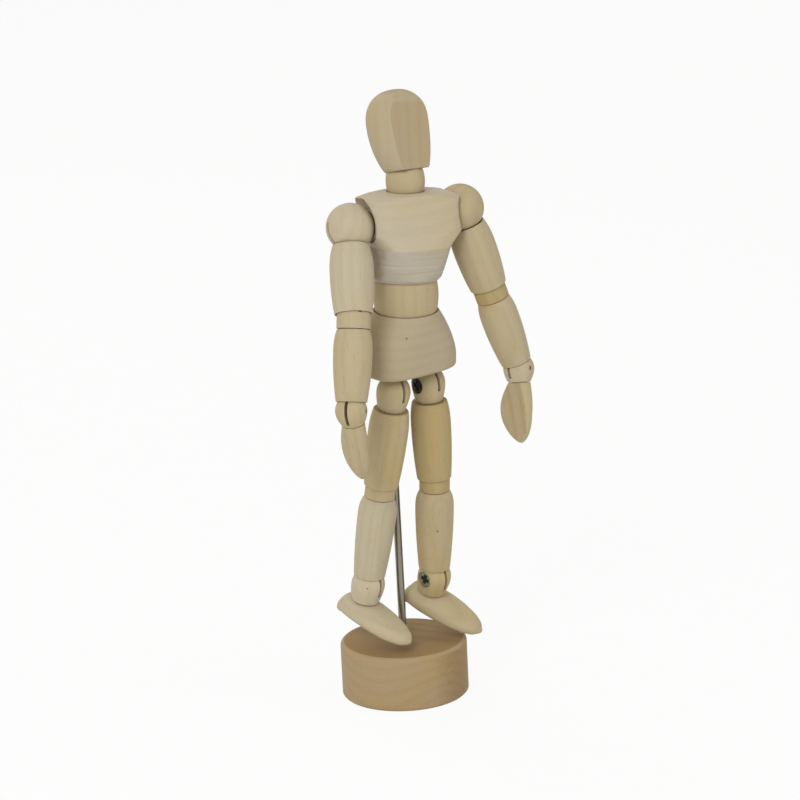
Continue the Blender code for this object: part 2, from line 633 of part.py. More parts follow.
def build_chest(shop, frame):
    """The rib cage, with a flat upper front, a crease and a lower front that slopes in."""
    waist_ball = band_sphere(WAIST_BAND_RADIUS, WAIST_BAND_HALF_HEIGHT)
    neck_ball = band_sphere(NECK_BAND_RADIUS, NECK_BAND_HALF_HEIGHT)
    rim = rim_radius(waist_ball, WAIST_BAND_HALF_HEIGHT)
    low = WAIST_BAND_HALF_HEIGHT
    crease = low + CHEST_CREASE_HEIGHT
    corner = low + CHEST_CORNER_HEIGHT
    top = low + CHEST_HEIGHT
    middle = (CHEST_CORNER_HALF_DEPTH + CHEST_CREASE_HALF_DEPTH) / 2
    shoulder = (
        (CHEST_CORNER_HALF_WIDTH + CHEST_TOP_HALF_WIDTH) / 2,
        (CHEST_CORNER_HALF_DEPTH + CHEST_TOP_HALF_DEPTH) / 2,
    )
    rings = [
        rounded(rim, rim, 2.0, low),
        rounded(rim + CHEST_EDGE, rim + CHEST_EDGE, 2.0, low + CHEST_EDGE),
        rounded(CHEST_CREASE_HALF_WIDTH, CHEST_CREASE_HALF_DEPTH, CHEST_SQUARENESS, crease, CHEST_FORWARD),
        rounded(CHEST_HALF_WIDTH, middle, CHEST_SQUARENESS, low + CHEST_BROAD_HEIGHT, CHEST_FORWARD),
        rounded(CHEST_CORNER_HALF_WIDTH, CHEST_CORNER_HALF_DEPTH, CHEST_SQUARENESS, corner, CHEST_FORWARD),
        rounded(*shoulder, CHEST_TOP_SQUARENESS, (corner + 2 * top) / 3, CHEST_FORWARD),
        rounded(CHEST_TOP_HALF_WIDTH, CHEST_TOP_HALF_DEPTH, 2.0, top),
    ]
    aside = [share * CHEST_ASIDE for share in (0.0, 0.0, 0.5, 1.0, 0.5, 0.4, 0.0)]
    rings = [[(x + shift, y, z) for x, y, z in ring] for shift, ring in zip(aside, rings)]
    chest = shop.add(loft("chest", rings), frame, BIRCH)
    neck = top + NECK_BAND_HALF_HEIGHT
    outline = [(r, neck + z) for r, z in spring_dish(neck_ball, NECK_BAND_HALF_HEIGHT, 0.0)[:-2]]
    waist_end = spring_dish(waist_ball, WAIST_BAND_HALF_HEIGHT, 0.0)[:-2]
    outline += [(r, -z) for r, z in reversed(waist_end)]
    shop.cut(chest, turned("spine_bore", outline, TURN_STEPS + 4))
    height = low + SHOULDER_HEIGHT
    half = SHOULDER_SPREAD / 2
    bore = cylinder("shoulder_bore", SPRING_BORE, -half, half, TURN_STEPS)
    shop.cut(chest, along_x(bore, 1, (0, 0, height)))
    for side, sign in SIDES.items():
        centre = (sign * half, 0, height + ARM_POSES[side]["rise"] * MM)
        shop.cut(chest, along_x(shoulder_dish(side + "_shoulder_dish"), -sign, centre))


def shoulder_dish(name):
    """A dish that fits the ball at its bottom and clears the arm's rim further out."""
    seat = socket_radius(SHOULDER_BALL_RADIUS)
    clear = math.hypot(rim_radius(SHOULDER_BALL_RADIUS, UPPER_ARM_RIM), UPPER_ARM_RIM) + GAP
    outline = [(0.0, seat)] + arc(seat, 90.0, 90.0 - DISH_SEAT, 4)[1:]
    for i in range(5):
        angle = math.radians((90.0 - DISH_SEAT) * (1 - i / 4))
        radius = clear + DISH_FLARE * i / 4
        outline.append((radius * math.cos(angle), radius * math.sin(angle)))
    return turned(name, outline + [(0.0, 0.0)])


def build_head(shop, frame):
    """An egg with a flat face, cut level under the jaw."""
    neck_ball = band_sphere(NECK_BAND_RADIUS, NECK_BAND_HALF_HEIGHT)
    jaw = NECK_BAND_HALF_HEIGHT
    broad = jaw + HEAD_DROP
    rings = []
    for i in range(5):
        drop = HEAD_DROP * (1 - i / 5)
        share = math.sqrt(1 - (drop / HEAD_TAPER) ** 2)
        forward = JAW_FORWARD * (drop / HEAD_DROP) ** 2
        rings.append(rounded(HEAD_HALF_WIDTH * share, HEAD_HALF_DEPTH * share, 2.0, broad - drop, forward))
    for i in range(7):
        rise = math.sin(math.pi / 2 * min(i / 6, CROWN_SHARE))
        share = (1 - rise**HEAD_FULLNESS) ** (1 / HEAD_FULLNESS)
        rings.append(rounded(HEAD_HALF_WIDTH * share, HEAD_HALF_DEPTH * share, 2.0, broad + HEAD_RISE * rise))
    head = shop.add(loft("head", rings), frame, BIRCH)
    bore_end = HEAD_PIN_HEIGHT + SPRING_BORE
    dish = [(r, -z) for r, z in spring_dish(neck_ball, NECK_BAND_HALF_HEIGHT, -bore_end)]
    shop.cut(head, turned("head_dish", dish[::-1], TURN_STEPS + 4))
    reach = 2 * HEAD_HALF_DEPTH
    face = block("face_plane", (-reach, -reach, -reach), (reach, -FACE_DISTANCE, reach))
    face.matrix_basis = Matrix.Translation((0, 0, broad)) @ Matrix.Rotation(math.radians(-FACE_SLANT), 4, "X")
    shop.cut(head, face)
    cross_pin(shop, head, "head_pin", HEAD_PIN_HEIGHT)


def hang_tongue(shop, limb, name, ball_radius, frame):
    """Lets a tongue into the limb over a joint; the frame is the joint's, fixed to that limb."""
    length = socket_radius(ball_radius) + TONGUE_ROOT
    shop.cut(limb, pocket(name + "_pocket", length), frame)
    shop.add(tongue(name, length), frame, STEEL)


def build_arm(shop, side, chest_frame):
    """Shoulder ball, upper arm, elbow, forearm, wrist and hand of one side."""
    sign = SIDES[side]
    pose = ARM_POSES[side]
    height = WAIST_BAND_HALF_HEIGHT + SHOULDER_HEIGHT
    place = (sign * SHOULDER_SPREAD / 2, 0, height + pose["rise"] * MM)

    swing = shop.frame(side + "_shoulder_swing", chest_frame, place, (-pose["swing"], 0, 0))
    across = shop.frame(side + "_shoulder_pin_frame", swing, (0, 0, 0), (0, 0, 90))
    ball_outline = [(0.0, SHOULDER_BALL_RADIUS)] + arc(SHOULDER_BALL_RADIUS, 90.0, -90.0, 9)[1:-1]
    ball_outline += [(0.0, -SHOULDER_BALL_RADIUS)]
    ball = shop.add(turned(side + "_shoulder_ball", ball_outline, TURN_STEPS), across, HONEY)
    shop.cut(ball, open_slot(side + "_shoulder_slot", SHOULDER_BALL_RADIUS, downward=True))
    depth = TONGUE_EYE_RADIUS + GAP
    mouth = -SHOULDER_BALL_RADIUS - GAP
    spring_hole = cylinder(side + "_shoulder_spring_hole", SPRING_BORE, mouth, depth, TURN_STEPS)
    shop.cut(ball, along_x(spring_hole, sign), swing)
    fit_pin(shop, ball, side + "_shoulder_pin", SHOULDER_BALL_RADIUS)

    lift = shop.frame(side + "_arm_lift", swing, (0, 0, 0), (0, -sign * pose["lift"], 0))
    elbow_ball = band_sphere(ELBOW_BAND_RADIUS, ELBOW_BAND_HALF_HEIGHT)
    top = (rim_radius(SHOULDER_BALL_RADIUS, UPPER_ARM_RIM), -UPPER_ARM_RIM)
    low = (rim_radius(elbow_ball, ELBOW_BAND_HALF_HEIGHT), ELBOW_BAND_HALF_HEIGHT - UPPER_ARM_LENGTH)
    cup = [(r, -z) for r, z in socket(SHOULDER_BALL_RADIUS, UPPER_ARM_RIM, 0.0)]
    outline = cup[:0:-1] + swelling(top, (UPPER_ARM_RADIUS, -UPPER_ARM_BELLY), low, UPPER_ARM_CURVES)
    outline += socket(elbow_ball, ELBOW_BAND_HALF_HEIGHT, -UPPER_ARM_LENGTH)
    upper_arm = shop.add(turned(side + "_upper_arm", outline), lift, BIRCH)
    hinge = shop.frame(side + "_arm_tongue_frame", lift, (0, 0, 0), (0, 0, 90))
    length = socket_radius(SHOULDER_BALL_RADIUS) + TONGUE_ROOT
    shop.cut(upper_arm, pocket(side + "_shoulder_tongue_pocket", length, downward=True), hinge)
    shop.add(tongue(side + "_shoulder_tongue", length, downward=True), hinge, STEEL)

    over_elbow = shop.frame(side + "_over_elbow", lift, (0, 0, -UPPER_ARM_LENGTH))
    hang_tongue(shop, upper_arm, side + "_elbow_tongue", elbow_ball, over_elbow)
    elbow = shop.frame(side + "_elbow", over_elbow, (0, 0, 0), (-pose["elbow"], 0, 0))
    ball = banded_ball(side + "_elbow_ball", ELBOW_BAND_RADIUS, ELBOW_BAND_HALF_HEIGHT)
    shop.add(ball, elbow, HONEY)
    shop.cut(ball, fan_slot(side + "_elbow_slot", elbow_ball, ELBOW_SWING))
    fit_pin(shop, ball, side + "_elbow_pin", ELBOW_BAND_RADIUS)

    twist = shop.frame(side + "_forearm_twist", elbow, (0, 0, 0), (0, 0, -sign * pose["forearm"]))
    top = (FOREARM_TOP_RADIUS, -ELBOW_BAND_HALF_HEIGHT - GAP)
    low = (rim_radius(WRIST_BALL_RADIUS, WRIST_RIM), WRIST_RIM - FOREARM_LENGTH)
    outline = peg_hole(ELBOW_BAND_HALF_HEIGHT, PEG_RADIUS)
    outline += swelling(top, (FOREARM_RADIUS, -FOREARM_BELLY), low, FOREARM_CURVES)
    outline += socket(WRIST_BALL_RADIUS, WRIST_RIM, -FOREARM_LENGTH)
    forearm = shop.add(turned(side + "_forearm", outline), twist, BIRCH)
    over_wrist = shop.frame(side + "_over_wrist", twist, (0, 0, -FOREARM_LENGTH))
    hang_tongue(shop, forearm, side + "_wrist_tongue", WRIST_BALL_RADIUS, over_wrist)
    wrist = shop.frame(side + "_wrist", over_wrist, (0, 0, 0), (-pose["wrist"], 0, 0))
    ball = round_ball(
        side + "_wrist_ball", WRIST_BALL_RADIUS, WRIST_SEAT, WRIST_SEAT_RADIUS, WRIST_PEG_RADIUS
    )
    shop.add(ball, wrist, HONEY)
    shop.cut(ball, open_slot(side + "_wrist_slot", WRIST_BALL_RADIUS))
    fit_pin(shop, ball, side + "_wrist_pin", WRIST_BALL_RADIUS)
    hand = shop.frame(side + "_hand_twist", wrist, (0, 0, 0), (0, 0, -sign * pose["hand"]))
    build_hand(shop, side, hand)


def build_hand(shop, side, frame):
    """A leaf-shaped hand with a flat palm, hung on the wrist's peg."""
    seat = WRIST_SEAT + GAP
    rings = []
    for i in range(9):
        share = HAND_TIP_SHARE * (1 - i / 8)
        if share < HAND_BROAD:
            full = math.sin(math.pi / 2 * share / HAND_BROAD)
            width = WRIST_SEAT_RADIUS + (HAND_HALF_WIDTH - WRIST_SEAT_RADIUS) * full
            thickness = WRIST_SEAT_RADIUS + (HAND_HALF_THICKNESS - WRIST_SEAT_RADIUS) * full
        else:
            taper = (1 - ((share - HAND_BROAD) / (1 - HAND_BROAD)) ** 2) ** HAND_TAPER
            width = HAND_HALF_WIDTH * taper
            thickness = HAND_HALF_THICKNESS * taper
        aside = -SIDES[side] * HAND_ASIDE * math.sin(math.pi * share)
        ring = rounded(width, thickness, 2.0, -seat - HAND_LENGTH * share)
        rings.append([(x + aside, y, z) for x, y, z in ring])
    hand = shop.add(loft(side + "_hand", rings), frame, BIRCH)
    hole = peg_hole(WRIST_SEAT, WRIST_PEG_RADIUS)
    cutter = [(0.0, -WRIST_SEAT), (hole[1][0], -WRIST_SEAT), hole[1], hole[0]]
    shop.cut(hand, turned(side + "_hand_hole", cutter, PIN_STEPS))
    reach = 2 * HAND_LENGTH
    palm = block(side + "_palm_plane", (-reach, -reach, -reach), (reach, -PALM_DISTANCE, reach))
    palm.matrix_basis = Matrix.Translation((0, 0, -seat)) @ Matrix.Rotation(math.radians(PALM_SLANT), 4, "X")
    shop.cut(hand, palm)


def build_leg(shop, side, pelvis, pelvis_frame):
    """Hip ball, thigh, knee, shin, ankle and foot of one side."""
    sign = SIDES[side]
    pose = LEG_POSES[side]
    place = (sign * HIP_SPREAD / 2, -HIP_FORWARD, -HIP_DROP)
    over_hip = shop.frame(side + "_over_hip", pelvis_frame, place, (0, -sign * pose["splay"], 0))
    shop.cut(pelvis, sphere(side + "_hip_dish", socket_radius(HIP_BALL_RADIUS)), over_hip)
    hang_tongue(shop, pelvis, side + "_hip_tongue", HIP_BALL_RADIUS, over_hip)
    hip = shop.frame(side + "_hip", over_hip, (0, 0, 0), (-pose["hip"], 0, 0))
    ball = shop.add(round_ball(side + "_hip_ball", HIP_BALL_RADIUS, HIP_SEAT, HIP_SEAT_RADIUS), hip, HONEY)
    shop.cut(ball, open_slot(side + "_hip_slot", HIP_BALL_RADIUS))
    fit_screw(shop, ball, side + "_hip_screw", HIP_BALL_RADIUS, -sign)

    knee_ball = band_sphere(KNEE_BAND_RADIUS, KNEE_BAND_HALF_HEIGHT)
    twist = shop.frame(side + "_thigh_twist", hip, (0, 0, 0), (0, 0, sign * pose["thigh"]))
    top = (THIGH_TOP_RADIUS, -HIP_SEAT - GAP)
    low = (rim_radius(knee_ball, KNEE_BAND_HALF_HEIGHT), KNEE_BAND_HALF_HEIGHT - THIGH_LENGTH)
    outline = peg_hole(HIP_SEAT, PEG_RADIUS)
    outline += swelling(top, (THIGH_RADIUS, -THIGH_BELLY), low, THIGH_CURVES)
    outline += socket(knee_ball, KNEE_BAND_HALF_HEIGHT, -THIGH_LENGTH)
    thigh = shop.add(turned(side + "_thigh", outline), twist, BIRCH)
    over_knee = shop.frame(side + "_over_knee", twist, (0, 0, -THIGH_LENGTH))
    hang_tongue(shop, thigh, side + "_knee_tongue", knee_ball, over_knee)
    knee = shop.frame(side + "_knee", over_knee, (0, 0, 0), (pose["knee"], 0, 0))
    ball = shop.add(banded_ball(side + "_knee_ball", KNEE_BAND_RADIUS, KNEE_BAND_HALF_HEIGHT), knee, HONEY)
    shop.cut(ball, fan_slot(side + "_knee_slot", knee_ball, KNEE_SWING))
    fit_pin(shop, ball, side + "_knee_pin", KNEE_BAND_RADIUS)

    twist = shop.frame(side + "_shin_twist", knee, (0, 0, 0), (0, 0, sign * pose["shin"]))
    top = (SHIN_TOP_RADIUS, -KNEE_BAND_HALF_HEIGHT - GAP)
    low = (rim_radius(ANKLE_BALL_RADIUS, ANKLE_RIM), ANKLE_RIM - SHIN_LENGTH)
    outline = peg_hole(KNEE_BAND_HALF_HEIGHT, PEG_RADIUS)
    outline += swelling(top, (SHIN_RADIUS, -SHIN_BELLY), low, SHIN_CURVES)
    outline += socket(ANKLE_BALL_RADIUS, ANKLE_RIM, -SHIN_LENGTH)
    shin = shop.add(turned(side + "_shin", outline), twist, BIRCH)
    over_ankle = shop.frame(side + "_over_ankle", twist, (0, 0, -SHIN_LENGTH))
    hang_tongue(shop, shin, side + "_ankle_tongue", ANKLE_BALL_RADIUS, over_ankle)
    ankle = shop.frame(side + "_ankle", over_ankle, (0, 0, 0), (pose["ankle"], 0, 0))
    ball = round_ball(side + "_ankle_ball", ANKLE_BALL_RADIUS, ANKLE_SEAT, ANKLE_SEAT_RADIUS)
    shop.add(ball, ankle, HONEY)
    shop.cut(ball, open_slot(side + "_ankle_slot", ANKLE_BALL_RADIUS))
    fit_screw(shop, ball, side + "_ankle_screw", ANKLE_BALL_RADIUS, -sign)
    foot = shop.frame(side + "_foot_twist", ankle, (0, 0, 0), (0, 0, sign * pose["foot"]))
    build_foot(shop, side, foot)


def build_foot(shop, side, frame):
    """A shoe-shaped foot with a flat round seat for the ankle."""
    seat = ANKLE_SEAT + GAP
    slope = Matrix.Translation((0, 0, -seat)) @ Matrix.Rotation(math.radians(FOOT_SLOPE), 4, "X")
    rings = []
    for along, broad, top, sole in FOOT_STATIONS:
        y = along * (FOOT_HEEL if along > 0 else FOOT_TOE)
        middle = ((top + sole) / 2 - 1) * FOOT_HEIGHT
        half = (top - sole) / 2 * FOOT_HEIGHT
        ring = []
        for x, z, _ in rounded(broad * FOOT_HALF_WIDTH, half, FOOT_SQUARENESS, 0.0):
            share = (z / half + 1) / 2
            ring.append(slope @ Vector((x * (1 - FOOT_PINCH * share**2), y, middle + z)))
        rings.append(ring)
    foot = shop.add(loft(side + "_foot", rings), frame, BIRCH)
    hole = peg_hole(ANKLE_SEAT, PEG_RADIUS)
    wide = ANKLE_SEAT_RADIUS + GAP
    cutter = [(0.0, 0.0), (wide, 0.0), (wide, -seat), (hole[1][0], -seat), hole[1], hole[0]]
    shop.cut(foot, turned(side + "_foot_seat", cutter, BALL_STEPS))


def spring(name, start, bend, end):
    """A spring round a bend; each end is an anchor's centre, its hook's radius and the way across it."""
    near = (bend - start[0]).normalized()
    far = (end[0] - bend).normalized()
    turning = (bend - start[0]).length - start[1] - SPRING_RADIUS
    length = turning + (end[0] - bend).length - end[1] - SPRING_RADIUS
    count = round(length / SPRING_PITCH) * COIL_POINTS
    points = half_loop(start, -near)
    for i in range(count + 1):
        travel = length * i / count
        along = near if travel < turning else far
        angle = math.tau * i / COIL_POINTS
        ring = start[2] * math.cos(angle) + along.cross(start[2]) * math.sin(angle)
        points.append(bend + along * (travel - turning) + ring * SPRING_RADIUS)
    return wire(name, points + half_loop(end, far)[::-1])


def half_loop(anchor, outward):
    """Points of a hook round an anchor, from its tip to its root."""
    centre, radius, across = anchor
    angles = [math.pi * i / 4 for i in range(5)]
    return [centre + (outward * math.sin(a) - across * math.cos(a)) * radius for a in angles]


def build_springs(shop, pelvis_frame, chest_frame, head_frame):
    """The shoulder spring from arm to arm, and two that pull the waist and the neck together on it."""
    bpy.context.view_layer.update()
    home = chest_frame.matrix_world.inverted()
    waist = PELVIS_HEIGHT + WAIST_BAND_HALF_HEIGHT
    pelvis_pin = home @ pelvis_frame.matrix_world @ Vector((0, 0, waist - PELVIS_PIN_DEPTH))
    head_pin = home @ head_frame.matrix_world @ Vector((0, 0, HEAD_PIN_HEIGHT))
    pin_hook = PIN_RADIUS + SPRING_WIRE + HOOK_PLAY
    coil_hook = SPRING_RADIUS + 2 * SPRING_WIRE + HOOK_PLAY
    backward = Vector((0, 1, 0))
    middle = Vector((0, 0, WAIST_BAND_HALF_HEIGHT + SHOULDER_HEIGHT))
    arms = []
    for side in SIDES:
        swing = home @ bpy.data.objects[side + "_shoulder_swing"].matrix_world
        beside = swing @ Vector((0, TONGUE_THICKNESS / 2 + SPRING_WIRE + GAP, 0))
        arms.append((beside, pin_hook, swing.to_3x3() @ Vector((0, 0, 1))))
    shop.add(spring("shoulder_spring", arms[0], middle, arms[1]), chest_frame, STEEL)

    aside = Vector((2 * SPRING_WIRE + GAP, 0, 0))
    waist_centre = Vector((0, 0, 0))
    low = (pelvis_pin, pin_hook, backward)
    high = (middle - aside, coil_hook, backward)
    shop.add(spring("waist_spring", low, waist_centre, high), chest_frame, STEEL)
    neck_centre = Vector((0, 0, WAIST_BAND_HALF_HEIGHT + CHEST_HEIGHT + NECK_BAND_HALF_HEIGHT))
    low = (middle + aside, coil_hook, backward)
    high = (head_pin, pin_hook, backward)
    shop.add(spring("neck_spring", low, neck_centre, high), chest_frame, STEEL)


def main():
    shop = Workshop()
    mast = build_stand(shop)
    pelvis_frame = build_pelvis(shop, mast)
    chest_frame, head_frame = build_torso(shop, pelvis_frame)
    pelvis = bpy.data.objects["pelvis"]
    for side in SIDES:
        build_arm(shop, side, chest_frame)
        build_leg(shop, side, pelvis, pelvis_frame)
    build_springs(shop, pelvis_frame, chest_frame, head_frame)


if __name__ == "__main__":
    main()
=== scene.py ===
"""Looks of the jointed wooden drawing figure: finely turned wood, steel and a plain pale studio.

Each wooden piece is built again with fine surfaces in the frame of its own joint, from the sizes of the
solids, and stands for its solid. Every limb hangs down its own -Z from the centre of its upper joint.
"""

import json
import math
import re

import bmesh
import bpy
import numpy as np
from mathutils import Euler, Matrix, Vector

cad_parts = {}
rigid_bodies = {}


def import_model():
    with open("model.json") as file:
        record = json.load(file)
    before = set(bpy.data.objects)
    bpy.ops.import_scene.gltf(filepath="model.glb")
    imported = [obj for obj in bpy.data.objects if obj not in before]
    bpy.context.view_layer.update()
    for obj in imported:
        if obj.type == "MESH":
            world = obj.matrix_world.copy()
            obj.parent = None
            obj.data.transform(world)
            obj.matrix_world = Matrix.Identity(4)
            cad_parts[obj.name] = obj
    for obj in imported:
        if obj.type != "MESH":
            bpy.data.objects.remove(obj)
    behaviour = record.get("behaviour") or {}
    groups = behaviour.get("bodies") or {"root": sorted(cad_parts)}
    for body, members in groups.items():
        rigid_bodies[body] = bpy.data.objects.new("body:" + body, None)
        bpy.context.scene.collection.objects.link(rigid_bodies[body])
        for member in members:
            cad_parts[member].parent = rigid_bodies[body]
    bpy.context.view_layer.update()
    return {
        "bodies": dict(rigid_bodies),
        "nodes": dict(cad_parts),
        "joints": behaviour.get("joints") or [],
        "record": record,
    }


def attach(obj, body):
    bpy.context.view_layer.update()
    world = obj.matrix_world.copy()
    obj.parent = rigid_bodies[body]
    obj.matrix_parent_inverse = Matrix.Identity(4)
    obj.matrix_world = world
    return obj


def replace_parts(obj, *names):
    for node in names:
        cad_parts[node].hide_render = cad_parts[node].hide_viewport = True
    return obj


MM = 0.001

# Sizes of the solids, in millimetres
GAP, FIT, LIP = 0.3, 0.15, 0.25
BASE_RADIUS, BASE_HEIGHT, BASE_TOP_EDGE, BASE_FOOT_EDGE = 20.5, 18.0, 1.5, 0.7
ROD_RADIUS, ROD_LENGTH, ROD_IN_BASE, ROD_IN_PELVIS = 1.25, 92.4, 12.0, 9.0
PELVIS_HEIGHT, PELVIS_HALF_WIDTH, PELVIS_HALF_DEPTH = 19.5, 15.9, 10.8
PELVIS_FLARE, PELVIS_EDGE, PELVIS_SQUARENESS, PELVIS_CURVE = 15.0, 1.3, 3.4, 1.7
ROD_SETBACK = 8.6
WAIST_BAND, WAIST_HALF, WAIST_BULGE = 9.8, 5.0, 0.5
CHEST_HEIGHT, CHEST_FORWARD, CHEST_ASIDE, CHEST_EDGE = 27.8, 0.5, 1.4, 0.9
CHEST_CREASE_HEIGHT, CHEST_CREASE_HALF_WIDTH, CHEST_CREASE_HALF_DEPTH = 10.8, 12.0, 12.0
CHEST_BROAD_HEIGHT, CHEST_HALF_WIDTH = 15.2, 15.9
CHEST_CORNER_HEIGHT, CHEST_CORNER_HALF_WIDTH, CHEST_CORNER_HALF_DEPTH = 26.2, 16.8, 8.8
CHEST_TOP_HALF_WIDTH, CHEST_TOP_HALF_DEPTH = 9.2, 7.0
CHEST_SQUARENESS, CHEST_TOP_SQUARENESS = 3.3, 3.0
NECK_BAND, NECK_HALF, NECK_BULGE = 5.7, 3.2, 0.45
HEAD_HALF_WIDTH, HEAD_HALF_DEPTH = 9.3, 10.6
HEAD_RISE, HEAD_DROP, HEAD_TAPER, HEAD_FULLNESS = 10.4, 15.0, 21.6, 2.3
JAW_FORWARD, FACE_DISTANCE, FACE_SLANT = 1.6, 6.3, 0.5
SHOULDER_SPREAD, SHOULDER_HEIGHT, SHOULDER_BALL = 38.4, 19.4, 7.6
DISH_SEAT, DISH_FLARE = 35.0, 2.2
UPPER_ARM_LENGTH, UPPER_ARM_RIM, UPPER_ARM_RADIUS, UPPER_ARM_BELLY = 29.9, 5.7, 6.9, 13.5
UPPER_ARM_CURVES, FOREARM_CURVES = (2.2, 2.2), (2.6, 2.0)  # how late the sides turn in, above and below
ELBOW_BAND, ELBOW_HALF, ELBOW_SWING = 5.3, 2.3, 45.0
FOREARM_LENGTH, FOREARM_TOP, FOREARM_RADIUS, FOREARM_BELLY = 27.5, 5.1, 6.1, 9.5
WRIST_BALL, WRIST_RIM, WRIST_SEAT, WRIST_SEAT_RADIUS, WRIST_PEG = 5.0, 2.6, 4.4, 3.6, 1.3
HAND_LENGTH, HAND_HALF_WIDTH, HAND_HALF_THICKNESS, HAND_ASIDE = 19.4, 5.3, 3.7, 1.3
HAND_BROAD, HAND_TAPER, PALM_DISTANCE = 0.42, 0.62, 2.9
HIP_SPREAD, HIP_FORWARD, HIP_DROP = 14.4, 2.3, 5.5
HIP_BALL, HIP_SEAT, HIP_SEAT_RADIUS = 5.4, 6.0, 4.3
THIGH_LENGTH, THIGH_TOP, THIGH_RADIUS, THIGH_BELLY = 34.0, 5.6, 6.4, 14.0
THIGH_CURVES, SHIN_CURVES = (2.4, 2.0), (2.8, 1.8)
KNEE_BAND, KNEE_HALF, KNEE_SWING = 4.9, 2.0, 40.0
SHIN_LENGTH, SHIN_TOP, SHIN_RADIUS, SHIN_BELLY = 32.5, 4.7, 6.2, 8.5
ANKLE_BALL, ANKLE_RIM, ANKLE_SEAT, ANKLE_SEAT_RADIUS = 5.4, 3.1, 5.6, 4.5
FOOT_HEEL, FOOT_TOE, FOOT_HALF_WIDTH, FOOT_HEIGHT = 7.7, 20.2, 7.0, 6.8
FOOT_SLOPE, FOOT_SQUARENESS, FOOT_PINCH = 5.0, 2.5, 0.22
FOOT_STATIONS = [  # along the foot, half width, top and sole, as shares
    (1.0, 0.45, 0.52, 0.22),
    (0.92, 0.62, 0.74, 0.08),
    (0.6, 0.80, 0.98, 0.02),
    (0.2, 0.92, 1.05, 0.0),
    (-0.15, 1.0, 1.05, 0.0),
    (-0.4, 1.0, 0.95, 0.0),
    (-0.62, 0.90, 0.82, 0.0),
    (-0.82, 0.68, 0.68, 0.03),
    (-0.95, 0.40, 0.50, 0.10),
    (-1.0, 0.18, 0.36, 0.18),
]
TONGUE_THICKNESS, TONGUE_HALF_WIDTH, TONGUE_EYE, SLOT_CLEARANCE = 0.6, 1.5, 1.8, 0.2
PIN_RADIUS, PIN_COVER, PIN_SINK = 0.6, 1.0, 0.4
SCREW_HEAD_RADIUS, SCREW_HEAD_HEIGHT, SCREW_SINK = 2.5, 0.9, 0.9
PEG_RADIUS, PEG_LENGTH, SPRING_BORE = 1.8, 5.0, 2.8
HEAD_PIN_HEIGHT, PELVIS_PIN_DEPTH, SHOULDER_BORE_REACH = 14.0, 15.0, 19.0

# Sizes of the fine surfaces alone, in millimetres, degrees and shares
CORNER_EASE, BASE_EASE, STEEL_EASE, BAND_EASE, PIN_EASE = 0.28, 0.3, 0.25, 0.2, 0.15
SHARP_TURN = 28.0  # a corner that turns less is not eased
SEAT_GAP = 0.14  # the seam at a flat seat
CUT_PAST = 2.0  # how far the rod hole's cutter reaches out of the pelvis
CROWN_SHARE = 0.993  # where the last ring lies on the way to the crown
CHEST_BORE_HIGH = 0.6  # where the bores from both ends of the chest meet
FACE_BLEND, BROW_SLANT, BROW_DISTANCE, BROW_BLEND = 0.4, 34.0, 8.8, 1.3
JAW_INSET, JAW_EASE = 0.965, 0.25
PALM_SLANT, PALM_TURN, PALM_BLEND = 7.0, -12.0, 0.25
WRIST_INSET, WRIST_EASE = 0.96, 0.12  # of the hand's upper edge
WRIST_SLOT_FLOOR, ANKLE_SLOT_FLOOR = 3.2, 2.6
CROSS_REACH, CROSS_HALF_WIDTH, CROSS_DEPTH, CROSS_PAST = 1.75, 0.7, 0.6, 1.0
SHADE_PIECE_ROOM, SHADE_PIECE_TOP, SHADE_PIECE_FOOT = 0.05, 0.3, 0.7  # a dark piece of painted shade in the cross, below the top of the screw
FOOT_CAP_BULGE, FOOT_SEAT_ROOM = 0.45, 0.05

# Pose of the solids at rest, in degrees
ROD_LEAN, PELVIS_PITCH, WAIST_BEND = 0.5, 4.0, -1.5
CHEST_BACK, CHEST_SIDE, CHEST_TURN = 2.5, 3.5, -13.5
NECK_BEND, HEAD_BACK, HEAD_SIDE, HEAD_TURN = -5.0, 8.0, -2.0, 12.0
ARM_POSES = {
    "right": dict(rise=-1.5, swing=22.0, lift=8.5, elbow=-9.0, forearm=-44.0, wrist=-30.0, hand=142.0),
    "left": dict(rise=1.5, swing=1.0, lift=21.0, elbow=0.5, forearm=68.0, wrist=26.0, hand=-24.0),
}
LEG_POSES = {
    "right": dict(splay=4.0, hip=-7.0, thigh=-1.0, knee=-0.5, shin=-9.5, ankle=4.5, foot=-3.0),
    "left": dict(splay=2.5, hip=2.0, thigh=3.5, knee=5.0, shin=2.0, ankle=14.0, foot=16.5),
}
SIDES = {"right": -1, "left": 1}

# Small dark knots in the wood, in millimetres in the part's frame
KNOTS = {
    "pelvis": (-7.7, -18.0, 122.9),
    "left_shin": (6.1, -12.3, 55.4),
    "right_ankle_ball": (-15.3, -1.7, 39.1),
}
KNOT_RADIUS = 0.5

# Facets round turned and lofted pieces
STEPS, BASE_STEPS, DISH_STEPS, BORE_STEPS, SCREW_STEPS, PIN_STEPS = 72, 128, 96, 48, 40, 24
BODY_SIDES, LIMB_SIDES = 144, 96
SMOOTH_TURN = 32.0  # degrees between facets that are shaded as one surface

# Camera and floor: degrees, metres and pixels
CAMERA_AZIMUTH, CAMERA_DISTANCE, CAMERA_RISE = -39.29, 1.111, 0.3887
CAMERA_HEADING, CAMERA_PITCH, CAMERA_ROLL, CAMERA_FOCUS = -0.13, 15.53, -2.70, 3623.0
PICTURE, SENSOR = 800.0, 36.0
FLOOR_RADIUS, FLOOR_DEPTH, FLOOR_DROP = 3200.0, 2.0, 0.1  # millimetres
FLOOR_WHITE = 0.90  # how much of the floor's own white the camera sees

